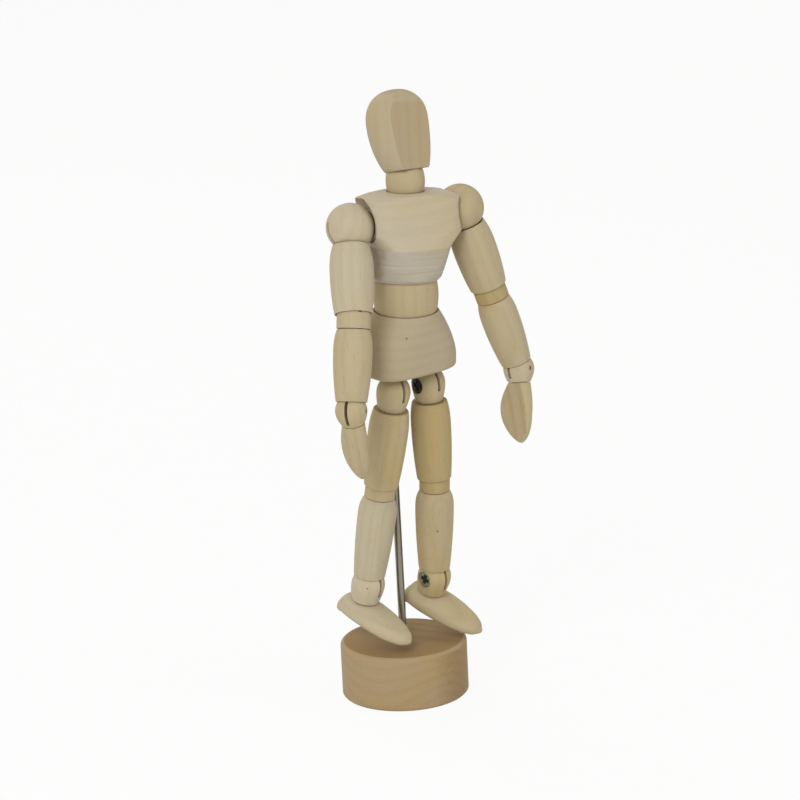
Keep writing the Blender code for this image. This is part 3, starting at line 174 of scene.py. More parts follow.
# Tints of the wood, as display colours
IVORY = (191, 182, 162)
PALE = (186, 175, 151)
CREAM = (185, 174, 147)
BUFF = (181, 167, 134)
SAND = (180, 164, 130)
HONEY = (183, 166, 128)
AMBER = (172, 154, 112)
TAN = (175, 162, 133)
GREY = (174, 161, 133)
BROWN = (167, 146, 111)

# Tones that darken or shift a tint, as shares of linear light
BLACK, WHITE = (0, 0, 0), (1, 1, 1)
WARM = (1.02, 0.99, 0.90)
COOL = (1.0, 1.01, 1.05)
RING = (0.80, 0.74, 0.66)
STREAK = (0.84, 0.80, 0.74)
PORE = (0.62, 0.54, 0.44)
END = (0.72, 0.64, 0.54)
# partly the base top's own darker wood, partly painted shadow of the figure above it
BASE_TOP_TONE_AND_SHADE = (0.76, 0.67, 0.49)
FACE = (0.955, 0.905, 0.865)
# painted shade: the palm's flat face is darkened, so its rim reads lighter beside it
PALM_PAINTED_SHADE = (0.91, 0.88, 0.88)
KNOT = (0.42, 0.35, 0.27)
SCORE_DARK = (0.82, 0.84, 0.90)
SCORE = (0.90, 0.93, 1.02)
SCORE_LIGHT = (0.97, 1.01, 1.12)
STAIN = (0.72, 0.70, 0.66)

# Marks of the wood and the steel, per metre, and how plainly they show
DRIFT_SCALE, RING_SCALE, RING_WOBBLE, SPECK_SCALE = 70.0, 95.0, 70.0, 900.0
STREAK_SCALE, PORE_SCALE, SCORE_SCALE = 750.0, 2400.0, 1500.0
LINE_SCALE, STAIN_SCALE = 5200.0, 220.0
RING_SHOW, STREAK_SHOW, PORE_SHOW, END_SHOW, STAIN_SHOW = 0.32, 0.25, 0.32, 0.75, 0.6
SANDED_BLEND = 0.25  # millimetres each way


def linear(colour):
    """A display colour from 0 to 255 as linear light."""
    values = [part / 255 for part in colour]
    return tuple(v / 12.92 if v <= 0.04045 else ((v + 0.055) / 1.055) ** 2.4 for v in values)


# Frames


def frame_at(parent, place=(0, 0, 0), turn=(0, 0, 0)):
    """A frame placed in its parent, in millimetres, and turned by degrees about X, Y and Z."""
    turning = Euler([math.radians(angle) for angle in turn]).to_matrix().to_4x4()
    return parent @ Matrix.Translation(Vector(place) * MM) @ turning


def pose_frames():
    """The frame of every joint at rest."""
    base = Matrix.Identity(4)
    rod = frame_at(base, (0, 0, BASE_HEIGHT), (-ROD_LEAN, 0, 0))
    rod_end = frame_at(rod, (0, 0, ROD_LENGTH))
    level = frame_at(rod_end, turn=(PELVIS_PITCH, 0, 0))
    pelvis = frame_at(level, (0, -ROD_SETBACK, 0))
    waist = frame_at(pelvis, (0, 0, PELVIS_HEIGHT + WAIST_HALF), (WAIST_BEND, 0, 0))
    lean = frame_at(waist, turn=(-CHEST_BACK, CHEST_SIDE, 0))
    chest = frame_at(lean, turn=(0, 0, CHEST_TURN))
    neck = frame_at(chest, (0, 0, WAIST_HALF + CHEST_HEIGHT + NECK_HALF), (NECK_BEND, 0, 0))
    tilt = frame_at(neck, turn=(-HEAD_BACK, HEAD_SIDE, 0))
    head = frame_at(tilt, turn=(0, 0, HEAD_TURN))
    frames = dict(base=base, support_rod=rod, rod_end=rod_end, pelvis=pelvis)
    frames.update(abdomen=waist, chest=chest, neck=neck, head=head)
    for side, sign in SIDES.items():
        limbs = arm_frames(chest, ARM_POSES[side], sign) | leg_frames(pelvis, LEG_POSES[side], sign)
        frames.update({f"{side}_{name}": frame for name, frame in limbs.items()})
    return frames


def arm_frames(chest, pose, sign):
    place = (sign * SHOULDER_SPREAD / 2, 0, WAIST_HALF + SHOULDER_HEIGHT + pose["rise"])
    swing = frame_at(chest, place, (-pose["swing"], 0, 0))
    shoulder = frame_at(swing, turn=(0, 0, 90))
    arm = frame_at(swing, turn=(0, -sign * pose["lift"], 0))
    elbow = frame_at(arm, (0, 0, -UPPER_ARM_LENGTH), (-pose["elbow"], 0, 0))
    forearm = frame_at(elbow, turn=(0, 0, -sign * pose["forearm"]))
    wrist = frame_at(forearm, (0, 0, -FOREARM_LENGTH), (-pose["wrist"], 0, 0))
    hand = frame_at(wrist, turn=(0, 0, -sign * pose["hand"]))
    return dict(shoulder=shoulder, upper_arm=arm, elbow=elbow, forearm=forearm, wrist=wrist, hand=hand)


def leg_frames(pelvis, pose, sign):
    place = (sign * HIP_SPREAD / 2, -HIP_FORWARD, -HIP_DROP)
    over_hip = frame_at(pelvis, place, (0, -sign * pose["splay"], 0))
    hip = frame_at(over_hip, turn=(-pose["hip"], 0, 0))
    thigh = frame_at(hip, turn=(0, 0, sign * pose["thigh"]))
    knee = frame_at(thigh, (0, 0, -THIGH_LENGTH), (pose["knee"], 0, 0))
    shin = frame_at(knee, turn=(0, 0, sign * pose["shin"]))
    ankle = frame_at(shin, (0, 0, -SHIN_LENGTH), (pose["ankle"], 0, 0))
    foot = frame_at(ankle, turn=(0, 0, sign * pose["foot"]))
    return dict(over_hip=over_hip, hip=hip, thigh=thigh, knee=knee, shin=shin, ankle=ankle, foot=foot)


# Outlines, as lists of (radius, height) in millimetres


def arc(radius, start, end, count, centre=0.0):
    """A circle about a point of the axis, between two angles over the equator, in degrees."""
    angles = [math.radians(start + (end - start) * i / (count - 1)) for i in range(count)]
    return [(radius * math.cos(angle), centre + radius * math.sin(angle)) for angle in angles]


def swelling(top, belly, bottom, curves, count=16):
    """A limb's outside, from the rim of its top over its belly to the rim of its bottom."""
    shares = [i / count for i in range(count + 1)]
    points = []
    for end, curve, steps in zip((top, bottom), curves, ([1 - s for s in shares[:-1]], shares)):
        for share in steps:
            radius = belly[0] + (end[0] - belly[0]) * share**curve
            points.append((radius, belly[1] + (end[1] - belly[1]) * share))
    return points


def cylinder(radius, high, low):
    return [(0.0, high), (radius, high), (radius, low), (0.0, low)]


def stepped(high, step, low, wide, narrow):
    """A wide cylinder over a narrow one."""
    return [(0.0, high), (wide, high), (wide, step), (narrow, step), (narrow, low), (0.0, low)]


def rim_radius(ball, rim_height):
    return math.sqrt((ball + GAP) ** 2 - rim_height**2) + LIP


def band_sphere(band, half_height):
    return math.hypot(band, half_height)


def socket(ball, rim_height, centre, count=12):
    """A socket open downward, from its rim in to the axis."""
    radius = ball + GAP
    rim = math.degrees(math.asin(rim_height / radius))
    return arc(radius, rim, 90.0, count, centre)[:-1] + [(0.0, centre + radius)]


def peg(seat, seat_radius, peg_radius):
    end = -seat - PEG_LENGTH
    return [(seat_radius, -seat), (peg_radius, -seat), (peg_radius, end), (0.0, end)]


def hung_limb(seat, top_radius, belly, curves, ball, rim_height, length):
    """A limb on the peg of the joint above it, with a socket for the ball below it."""
    hole = PEG_RADIUS + FIT
    end = -seat - PEG_LENGTH - GAP
    top = -seat - SEAT_GAP
    rim = (rim_radius(ball, rim_height), rim_height - length)
    outline = [(0.0, end), (hole, end), (hole, top)]
    outline += swelling((top_radius, top), belly, rim, curves)
    return outline + socket(ball, rim_height, -length)


def eased(outline, radius=CORNER_EASE, count=4):
    """The outline with its sharp corners eased, as sanding leaves them."""
    points = [np.array(point) for point in outline]
    result = [points[0]]
    for before, here, after in zip(points, points[1:], points[2:]):
        back, ahead = before - here, after - here
        back_length, ahead_length = np.linalg.norm(back), np.linalg.norm(ahead)
        cosine = np.clip(back @ ahead / (back_length * ahead_length), -1, 1)
        if 180 - math.degrees(math.acos(cosine)) < SHARP_TURN:
            result.append(here)
            continue
        start = here + back / back_length * min(radius, 0.45 * back_length)
        end = here + ahead / ahead_length * min(radius, 0.45 * ahead_length)
        for i in range(count + 1):
            t = i / count
            result.append((1 - t) ** 2 * start + 2 * t * (1 - t) * here + t**2 * end)
    return result + [points[-1]]


# Meshes, in millimetres until they are placed


def new_mesh(points, faces):
    mesh = bpy.data.meshes.new("shape")
    mesh.from_pydata([tuple(point) for point in points], [], faces)
    mesh.validate()
    mesh.update()
    return mesh


def turned(outline, steps=STEPS):
    """The outline, from axis to axis down the outer side, swept about Z."""
    body = outline[1:-1]
    points = [(0.0, 0.0, outline[0][1])]
    for radius, height in body:
        for i in range(steps):
            angle = math.tau * i / steps
            points.append((radius * math.cos(angle), radius * math.sin(angle), height))
    points.append((0.0, 0.0, outline[-1][1]))
    last = len(points) - 1
    faces = []
    for i in range(steps):
        j = (i + 1) % steps
        faces.append((0, 1 + i, 1 + j))
        faces.append((last, last - steps + j, last - steps + i))
        for k in range(len(body) - 1):
            low = 1 + (k + 1) * steps
            high = 1 + k * steps
            faces.append((high + i, low + i, low + j, high + j))
    return new_mesh(points, faces)


def ring(half_width, half_depth, squareness, height, forward=0.0, sides=BODY_SIDES):
    """A ring at a height; squareness 2 makes it an ellipse."""
    angles = (np.arange(sides) + 0.5) * math.tau / sides
    x, y = np.cos(angles), np.sin(angles)
    across = np.sign(x) * half_width * np.abs(x) ** (2 / squareness)
    along = np.sign(y) * half_depth * np.abs(y) ** (2 / squareness) - forward
    return np.column_stack([across, along, np.full(sides, height)])


def round_ring(radius, height, sides=BODY_SIDES):
    return ring(radius, radius, 2.0, height, 0.0, sides)


def lofted(rings, joined=False):
    """A skin through rings; its ends are closed, or joined to each other."""
    count = len(rings[0])
    points = np.concatenate(rings)
    last = (len(rings) - 1) * count
    starts = list(range(0, last + 1, count)) + [0] * joined
    faces = []
    for low, high in zip(starts, starts[1:]):
        for i in range(count):
            j = (i + 1) % count
            faces.append((low + i, low + j, high + j, high + i))
    if joined:
        return new_mesh(points, faces)
    points = np.concatenate([points, [rings[0].mean(0), rings[-1].mean(0)]])
    first, second = len(points) - 2, len(points) - 1
    for i in range(count):
        j = (i + 1) % count
        faces.append((first, j, i))
        faces.append((second, last + i, last + j))
    return new_mesh(points, faces)


def block(low, high):
    low, high = Vector(low), Vector(high)
    spread = Matrix.LocRotScale((low + high) / 2, None, high - low)
    shape = bmesh.new()
    bmesh.ops.create_cube(shape, size=1.0, matrix=spread)
    mesh = bpy.data.meshes.new("shape")
    shape.to_mesh(mesh)
    shape.free()
    return mesh


def ball_mesh(radius):
    return turned([(0.0, radius)] + arc(radius, 90.0, -90.0, 40)[1:-1] + [(0.0, -radius)])


def along_x(mesh, side=1, place=(0, 0, 0)):
    """Lays a mesh's own +Z along +X or -X."""
    mesh.transform(Matrix.Translation(place) @ Matrix.Rotation(side * math.pi / 2, 4, "Y"))
    return mesh


def carved(mesh, cutters):
    """The mesh with the cutters' shapes taken out."""
    piece = bpy.data.objects.new("carved", mesh)
    bpy.context.scene.collection.objects.link(piece)
    helpers = []
    for cutter in cutters:
        helper = bpy.data.objects.new("cutter", cutter)
        bpy.context.scene.collection.objects.link(helper)
        boolean = piece.modifiers.new("cut", "BOOLEAN")
        boolean.operation = "DIFFERENCE"
        boolean.object = helper
        helpers.append(helper)
    bpy.context.view_layer.update()
    graph = bpy.context.evaluated_depsgraph_get()
    result = bpy.data.meshes.new_from_object(piece.evaluated_get(graph))
    for item in helpers + [piece]:
        bpy.data.objects.remove(item, do_unlink=True)
    return result


def soft_least(values, limit, blend):
    """The lesser of each value and the limit, with the change between them eased."""
    share = np.clip(0.5 + 0.5 * (limit - values) / blend, 0, 1)
    return share * values + (1 - share) * limit - blend * share * (1 - share)


def face_normal(slant, turn=0.0):
    """The normal -Y, leant by degrees about X and turned about Z."""
    return Euler((math.radians(slant), 0, math.radians(turn))).to_matrix() @ Vector((0, -1, 0))


def flattened(rings, centre, normal, distance, blend):
    """Rings planed to a flat face at a distance from the centre."""
    normal = np.array(normal)
    result = []
    for points in rings:
        depth = (points - centre) @ normal
        result.append(points + np.outer(soft_least(depth, distance, blend) - depth, normal))
    return result


# Materials


class Shader:
    """Builds the nodes of a material or a world."""

    def __init__(self, owner):
        owner.use_nodes = True
        self.owner = owner
        self.tree = owner.node_tree

    def plug(self, target, value):
        """Links a socket to another one, or sets it; a colour has three parts."""
        if isinstance(value, bpy.types.NodeSocket):
            self.tree.links.new(value, target)
        elif target.type == "RGBA":
            target.default_value = (*value, 1.0)
        else:
            target.default_value = value

    def node(self, kind, *values, **settings):
        """A node, with values for its first inputs and settings for what they name."""
        node = self.tree.nodes.new("ShaderNode" + kind)
        for key, value in settings.items():
            if key in node.inputs:
                self.plug(node.inputs[key], value)
            else:
                setattr(node, key, value)
        for target, value in zip(node.inputs, values):
            self.plug(target, value)
        return node

    def ramp(self, source, *stops):
        """A colour ramp through (place, colour) stops."""
        node = self.node("ValToRGB", source)
        elements = node.color_ramp.elements
        while len(elements) < len(stops):
            elements.new(0.5)
        for element, (place, colour) in zip(elements, stops):
            element.position = place
            element.color = (*colour, 1.0)
        return node.outputs["Color"]

    def mapped(self, vector, **settings):
        """The vector moved, turned or stretched."""
        return self.node("Mapping", vector, **settings).outputs["Vector"]

    def noise(self, vector, scale, stretch=(1, 1, 1), detail=3.0, roughness=0.5):
        """Noise with this many features per metre, stretched along the axes."""
        vector = self.mapped(vector, Scale=[scale * share for share in stretch])
        node = self.node("TexNoise", vector, Scale=1.0, Detail=detail, Roughness=roughness)
        return node.outputs["Fac"]

    def blended(self, factor, first, second, mode="MIX"):
        node = self.node("Mix", data_type="RGBA", blend_type=mode, Factor=factor)
        self.plug(node.inputs[6], first)
        self.plug(node.inputs[7], second)
        return node.outputs[2]

    def multiplied(self, first, second, amount=1.0):
        return self.blended(amount, first, second, "MULTIPLY")

    def maths(self, operation, *values):
        return self.node("Math", *values, operation=operation).outputs["Value"]

    def scaled(self, source, factor, offset=0.0):
        return self.maths("MULTIPLY_ADD", source, factor, offset)

    def measured(self, operation, vector, target):
        """The distance to a point, or the dot product with a direction."""
        return self.node("VectorMath", vector, target, operation=operation).outputs["Value"]

    def bump(self, height, strength, distance):
        node = self.node("Bump", Height=height, Strength=strength, Distance=distance)
        return node.outputs["Normal"]

    def paint(self, inputs):
        surface = self.tree.nodes["Principled BSDF"]
        for key, value in inputs.items():
            self.plug(surface.inputs[key], value)
        return surface.outputs["BSDF"]

    def seen(self):
        """One where the camera, a gloss or a clear piece looks, and zero elsewhere."""
        rays = self.node("LightPath").outputs
        share = self.maths("MAXIMUM", rays["Is Camera Ray"], rays["Is Glossy Ray"])
        return self.maths("MAXIMUM", share, rays["Is Transmission Ray"])


def tinted(colour, tone):
    return tuple(min(1.0, part * factor) for part, factor in zip(colour, tone))


def grain_vector(shader, home, grain, seed):
    """Places along the grain, about a pith that lies beside the piece."""
    rng = np.random.default_rng(seed)
    side = rng.uniform(0, math.tau)
    reach = rng.uniform(9.0, 15.0) * MM
    pith = (reach * math.cos(side), reach * math.sin(side), float(rng.uniform(0.1, 0.9)))
    along = shader.mapped(home, vector_type="TEXTURE", Rotation=grain)
    return shader.mapped(along, Location=pith)


def growth_rings(shader, vector):
    """The dark late wood of each year."""
    marks = {"Scale": RING_SCALE, "Distortion": 3.0, "Detail": 2.0, "Detail Scale": RING_WOBBLE}
    kind = dict(wave_type="RINGS", rings_direction="Z", wave_profile="SAW")
    wave = shader.node("TexWave", shader.mapped(vector, Scale=(1.0, 1.0, 0.10)), **kind, **marks)
    return shader.ramp(wave.outputs["Fac"], (0.0, WHITE), (0.5, WHITE), (0.93, RING), (1.0, WHITE))


def end_grain(shader, toned, vector, normal, along):
    """Darker where the surface cuts across the grain."""
    across = shader.maths("ABSOLUTE", shader.measured("DOT_PRODUCT", normal, along))
    specks = shader.noise(vector, SPECK_SCALE, roughness=0.6)
    reached = shader.maths("ADD", across, shader.scaled(specks, 0.22, -0.11))
    amount = shader.scaled(shader.ramp(reached, (0.80, BLACK), (1.0, WHITE)), END_SHOW)
    return shader.blended(amount, toned, shader.multiplied(toned, END))


def planed_face(shader, toned, rings, normal, direction, tone, lines):
    """Another tone, and the growth rings' lines, where the surface faces a direction; the tone is the
    wood's own on the head's face, painted shade on the palm and partly painted shadow on the base's
    top.
    """
    facing = shader.measured("DOT_PRODUCT", normal, direction)
    flat = shader.ramp(facing, (0.955, BLACK), (0.993, WHITE))
    return shader.blended(flat, toned, shader.multiplied(shader.multiplied(toned, rings, lines), tone))


def sanded_band(shader, toned, home, scores, height):
    """Greyer and scored by the sanding disc below a height."""
    limits = {"From Min": (height + SANDED_BLEND) * MM, "From Max": (height - SANDED_BLEND) * MM}
    below = shader.node("MapRange", shader.node("SeparateXYZ", home).outputs["Z"], **limits)
    tone = shader.ramp(scores, (0.34, SCORE_DARK), (0.5, SCORE), (0.66, SCORE_LIGHT))
    return shader.blended(below.outputs["Result"], toned, shader.multiplied(toned, tone))


def knotted(shader, toned, place, knot):
    """A small dark knot at a place in the part."""
    away = shader.measured("DISTANCE", place, Vector(knot) * MM)
    share = shader.scaled(away, 1 / (KNOT_RADIUS * MM))
    return shader.multiplied(toned, shader.ramp(share, (0.4, KNOT), (0.95, WHITE)))


def wood(name, frame, tint, seed, grain=(0, 0, 0), figure=1.0, sanded=None, planed=None, knot=None):
    """Sanded pale wood; the grain runs along the Z of the piece's frame, turned by these degrees.

    The figure is how plainly the grain shows. Below the height sanded, in millimetres, the piece is
    scored. A flat face is given by its normal, its tone and how plainly the rings line it; that tone
    is the wood's own on the head's face, painted shade on the palm and partly painted shadow on the
    base's top.
    """
    shader = Shader(bpy.data.materials.new(name))
    colour = linear(tint)
    source = shader.node("TexCoord").outputs
    place, normal = source["Object"], source["Normal"]
    settings = dict(vector_type="TEXTURE", Location=frame.translation, Rotation=frame.to_euler())
    home = shader.mapped(place, **settings)
    grain = Euler([math.radians(angle) for angle in grain])
    vector = grain_vector(shader, home, grain, seed)

    drift = shader.noise(vector, DRIFT_SCALE, (1, 1, 0.5), 2.0)
    stops = (0.34, tinted(colour, WARM)), (0.5, colour), (0.68, tinted(colour, COOL))
    rings = growth_rings(shader, vector)
    toned = shader.multiplied(shader.ramp(drift, *stops), rings, RING_SHOW * figure)
    streaks = shader.noise(vector, STREAK_SCALE, (1, 1, 0.035), 4.0, 0.6)
    streak_tone = shader.ramp(streaks, (0.33, STREAK), (0.50, WHITE))
    toned = shader.multiplied(toned, streak_tone, STREAK_SHOW * figure)
    pores = shader.noise(vector, PORE_SCALE, (1, 1, 0.10), 1.0, 0.4)
    pore_tone = shader.ramp(pores, (0.25, PORE), (0.32, WHITE))
    toned = shader.multiplied(toned, pore_tone, PORE_SHOW * figure)
    height = shader.maths("ADD", shader.scaled(streaks, 0.7), shader.scaled(pores, 0.5))
    turn = frame.to_3x3()
    toned = end_grain(shader, toned, vector, normal, turn @ grain.to_matrix() @ Vector((0, 0, 1)))
    # a flat face's tone: painted shade on the palm, partly painted shadow on the base's top
    if planed is not None:
        face, *looks = planed
        toned = planed_face(shader, toned, rings, normal, turn @ Vector(face), *looks)
    if sanded is not None:
        scores = shader.noise(home, SCORE_SCALE, (0.035, 0.035, 1.0), 3.0, 0.65)
        toned = sanded_band(shader, toned, home, scores, sanded)
        height = shader.maths("ADD", height, shader.scaled(scores, 0.8))
    if knot is not None:
        toned = knotted(shader, toned, place, knot)
    surface = {"Base Color": toned, "Roughness": shader.scaled(streaks, 0.2, 0.54)}
    surface |= {"Specular IOR Level": 0.22, "Normal": shader.bump(height, 0.16, 0.0001)}
    shader.paint(surface)
    return shader.owner


def steel(name, tint, roughness, metal=1.0):
    """Plain drawn steel, with fine lines along the part's Z."""
    shader = Shader(bpy.data.materials.new(name))
    place = shader.node("TexCoord").outputs["Object"]
    lines = shader.noise(place, LINE_SCALE, (1, 1, 0.03), 2.0)
    stains = shader.noise(place, STAIN_SCALE, (1, 1, 0.4), 3.0, 0.6)
    dark, light = (tinted(linear(tint), [share] * 3) for share in (0.78, 1.12))
    toned = shader.ramp(lines, (0.25, dark), (0.75, light))
    toned = shader.multiplied(toned, shader.ramp(stains, (0.35, STAIN), (0.6, WHITE)), STAIN_SHOW)
    surface = {"Base Color": toned, "Metallic": metal}
    surface |= {"Roughness": shader.scaled(lines, 0.16, roughness - 0.08)}
    surface |= {"Normal": shader.bump(lines, 0.12, 0.00004)}
    shader.paint(surface)
    return shader.owner


# Pieces


class Figure:
    """Puts each fine piece in place of its solid."""

    def __init__(self, frame, frames):
        self.frames = frames
        self.nodes = frame["nodes"]
        bodies = frame["record"]["behaviour"]["bodies"]
        self.body_of = {node: body for body, nodes in bodies.items() for node in nodes}
        self.slot_of = {part["node"]: part["material_slot"] for part in frame["record"]["subparts"]}
        self.dark_steel = steel("dark_steel", (46, 38, 27), 0.6, metal=0.4)
        self.bright_steel = steel("bright_steel", (148, 143, 129), 0.30)
        self.screw_steel = {
            "hip": steel("hip_screw_steel", (66, 61, 54), 0.5),
            "ankle": steel("ankle_screw_steel", (158, 156, 128), 0.42, metal=0.5),
        }
        # painted shade: near-black, for the dark inside of the screws' cross recesses
        self.shadow = steel("recess_painted_shade", (24, 22, 18), 0.9, metal=0.0)

    def frame_of(self, node):
        """The frame a piece is made in: its own, or that of its joint."""
        return self.frames[re.sub("_(ball|pin|screw)$", "", node)]

    def add(self, name, node, mesh, material):
        """A piece on the body of a node, brought from its own frame into the part's."""
        mesh.name = name
        mesh.transform(self.frame_of(node) @ Matrix.Scale(MM, 4))
        mesh.shade_smooth()
        mesh.set_sharp_from_angle(angle=math.radians(SMOOTH_TURN))
        mesh.materials.clear()
        mesh.materials.append(material)
        piece = bpy.data.objects.new(name, mesh)
        bpy.context.scene.collection.objects.link(piece)
        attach(piece, self.body_of[node])
        return piece

    def place(self, node, mesh, material):
        """A piece that stands for a node."""
        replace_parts(self.add(node + "_fine", node, mesh, material), node)

    def carve(self, node, mesh, *looks, **marks):
        """A wooden piece that stands for a node."""
        material = wood(node + "_wood", self.frame_of(node), *looks, **marks, knot=KNOTS.get(node))
        self.place(node, mesh, material)

    def bring(self, mesh, source, target):
        """A mesh in millimetres, brought from one frame into another."""
        shift = self.frames[target].inverted() @ self.frames[source]
        shift.translation = shift.translation / MM
        mesh.transform(shift)
        return mesh

    def keep(self, node, material):
        """A solid that stays as it is, in a better material."""
        solid = self.nodes[node]
        solid.data.materials.clear()
        solid.data.materials.append(material)


def build_stand(figure):
    hole = ROD_RADIUS + FIT
    depth = BASE_HEIGHT - ROD_IN_BASE - 2 * FIT
    centre = BASE_HEIGHT - BASE_TOP_EDGE
    inset = BASE_RADIUS - BASE_TOP_EDGE
    outline = [(0.0, depth), (hole, depth), (hole, BASE_HEIGHT), (0.75 * inset, BASE_HEIGHT)]
    outline += [(inset + r, z) for r, z in arc(BASE_TOP_EDGE, 90.0, 0.0, 12, centre)]
    outline += [(BASE_RADIUS, 0.5 * BASE_HEIGHT), (BASE_RADIUS, BASE_FOOT_EDGE)]
    outline += [(BASE_RADIUS - BASE_FOOT_EDGE, 0.0), (0.0, 0.0)]
    mesh = turned(eased(outline, BASE_EASE), BASE_STEPS)
    # the base's flat top is darkened: partly its own tone, partly painted shadow of the figure
    figure.carve("base", mesh, BROWN, 3, (90, 0, 24), 0.9, planed=((0, 0, 1), BASE_TOP_TONE_AND_SHADE, 0.5))

    rod = cylinder(ROD_RADIUS, ROD_LENGTH + ROD_IN_PELVIS, -ROD_IN_BASE)
    figure.place("support_rod", turned(eased(rod, STEEL_EASE), BORE_STEPS), figure.bright_steel)


def dish_rings(ball, rim_height, centre, depth, upward):
    """Rings from a socket's rim down to its bore, and down the bore."""
    radius = ball + GAP
    start = math.degrees(math.asin(rim_height / radius))
    end = math.degrees(math.acos(SPRING_BORE / radius))
    sign = -1 if upward else 1
    points = [(r, centre + sign * z) for r, z in arc(radius, start, end, 14)]
    points.append((SPRING_BORE, depth))
    return [round_ring(r, z) for r, z in points]


def build_pelvis(figure):
    ball = band_sphere(WAIST_BAND, WAIST_HALF)
    rim = rim_radius(ball, WAIST_HALF)
    broad = np.array([PELVIS_HALF_WIDTH, PELVIS_HALF_DEPTH])
    rings = []
    for i in range(9):
        angle = math.pi / 2 * i / 8
        size = broad - PELVIS_EDGE * (1 - math.sin(angle))
        rings.append(ring(*size, PELVIS_SQUARENESS, PELVIS_EDGE * (1 - math.cos(angle))))
    for i in range(33):
        share = i / 32
        size = broad + (rim - broad) * share**PELVIS_CURVE
        height = PELVIS_HEIGHT - PELVIS_FLARE * (1 - share)
        squareness = PELVIS_SQUARENESS + (2 - PELVIS_SQUARENESS) * share
        rings.append(ring(*size, squareness, height))
    waist = PELVIS_HEIGHT + WAIST_HALF
    floor = waist - PELVIS_PIN_DEPTH - SPRING_BORE
    rings += dish_rings(ball, WAIST_HALF, waist, floor, True)
    hole = cylinder(ROD_RADIUS + FIT, ROD_IN_PELVIS + GAP, -CUT_PAST)
    hips = [(ball_mesh(HIP_BALL + GAP), side + "_over_hip") for side in SIDES]
    cutters = hips + [(turned(hole, BORE_STEPS), "rod_end")]
    mesh = carved(lofted(rings), [figure.bring(*cutter, "pelvis") for cutter in cutters])
    figure.carve("pelvis", mesh, GREY, 11, (90, 0, 78), 0.5)


def bulged(band, half_height, bulge):
    """A ball with a bulged band and a spring's bore."""
    ball = band_sphere(band, half_height)
    bore = math.degrees(math.acos(SPRING_BORE / ball))
    edge = math.degrees(math.asin(half_height / ball))
    outline = arc(ball, bore, edge, 14)
    for i in range(1, 16):
        height = half_height * (1 - i / 8)
        outline.append((band + bulge * (1 - (height / half_height) ** 2), height))
    outline += arc(ball, -edge, -bore, 14)
    outline = eased([outline[-1]] + outline + [outline[0]], BAND_EASE)[1:-1]
    return lofted([round_ring(r, z, LIMB_SIDES) for r, z in outline], joined=True)


def chest_stations():
    """The outside of the chest from its lower rim to its upper one."""
    rim = rim_radius(band_sphere(WAIST_BAND, WAIST_HALF), WAIST_HALF)
    edge = rim + CHEST_EDGE
    crease = (CHEST_CREASE_HALF_WIDTH, CHEST_CREASE_HALF_DEPTH)
    corner = (CHEST_CORNER_HALF_WIDTH, CHEST_CORNER_HALF_DEPTH)
    top = (CHEST_TOP_HALF_WIDTH, CHEST_TOP_HALF_DEPTH)
    broad = (CHEST_HALF_WIDTH, (corner[1] + crease[1]) / 2)
    shoulder = [(low + high) / 2 for low, high in zip(corner, top)]
    shoulder_height = (CHEST_CORNER_HEIGHT + 2 * CHEST_HEIGHT) / 3
    stations = [  # half width and depth, squareness, height, forward and aside
        (rim, rim, 2.0, 0.0, 0.0, 0.0),
        (edge, edge, 2.0, CHEST_EDGE, 0.0, 0.0),
        (*crease, CHEST_SQUARENESS, CHEST_CREASE_HEIGHT, CHEST_FORWARD, 0.5 * CHEST_ASIDE),
        (*broad, CHEST_SQUARENESS, CHEST_BROAD_HEIGHT, CHEST_FORWARD, CHEST_ASIDE),
        (*corner, CHEST_SQUARENESS, CHEST_CORNER_HEIGHT, CHEST_FORWARD, 0.5 * CHEST_ASIDE),
        (*shoulder, CHEST_TOP_SQUARENESS, shoulder_height, CHEST_FORWARD, 0.4 * CHEST_ASIDE),
        (*top, 2.0, CHEST_HEIGHT, 0.0, 0.0),
    ]
    return eased_stations(np.array(stations) + (0, 0, 0, WAIST_HALF, 0, 0))


def eased_stations(stations, step=0.2, window=3):
    """Stations close together along the side, with the corners between them eased."""
    length = np.linalg.norm(np.diff(stations[:, [0, 1, 3]], axis=0), axis=1)
    travel = np.concatenate([[0.0], np.cumsum(length)])
    fine = np.linspace(0.0, travel[-1], int(travel[-1] / step))
    dense = np.column_stack([np.interp(fine, travel, stations[:, k]) for k in range(6)])
    kernel = np.ones(window) / window
    reach = window // 2
    smooth = dense.copy()
    for k in range(6):
        smooth[reach:-reach, k] = np.convolve(dense[:, k], kernel, "valid")
    return smooth


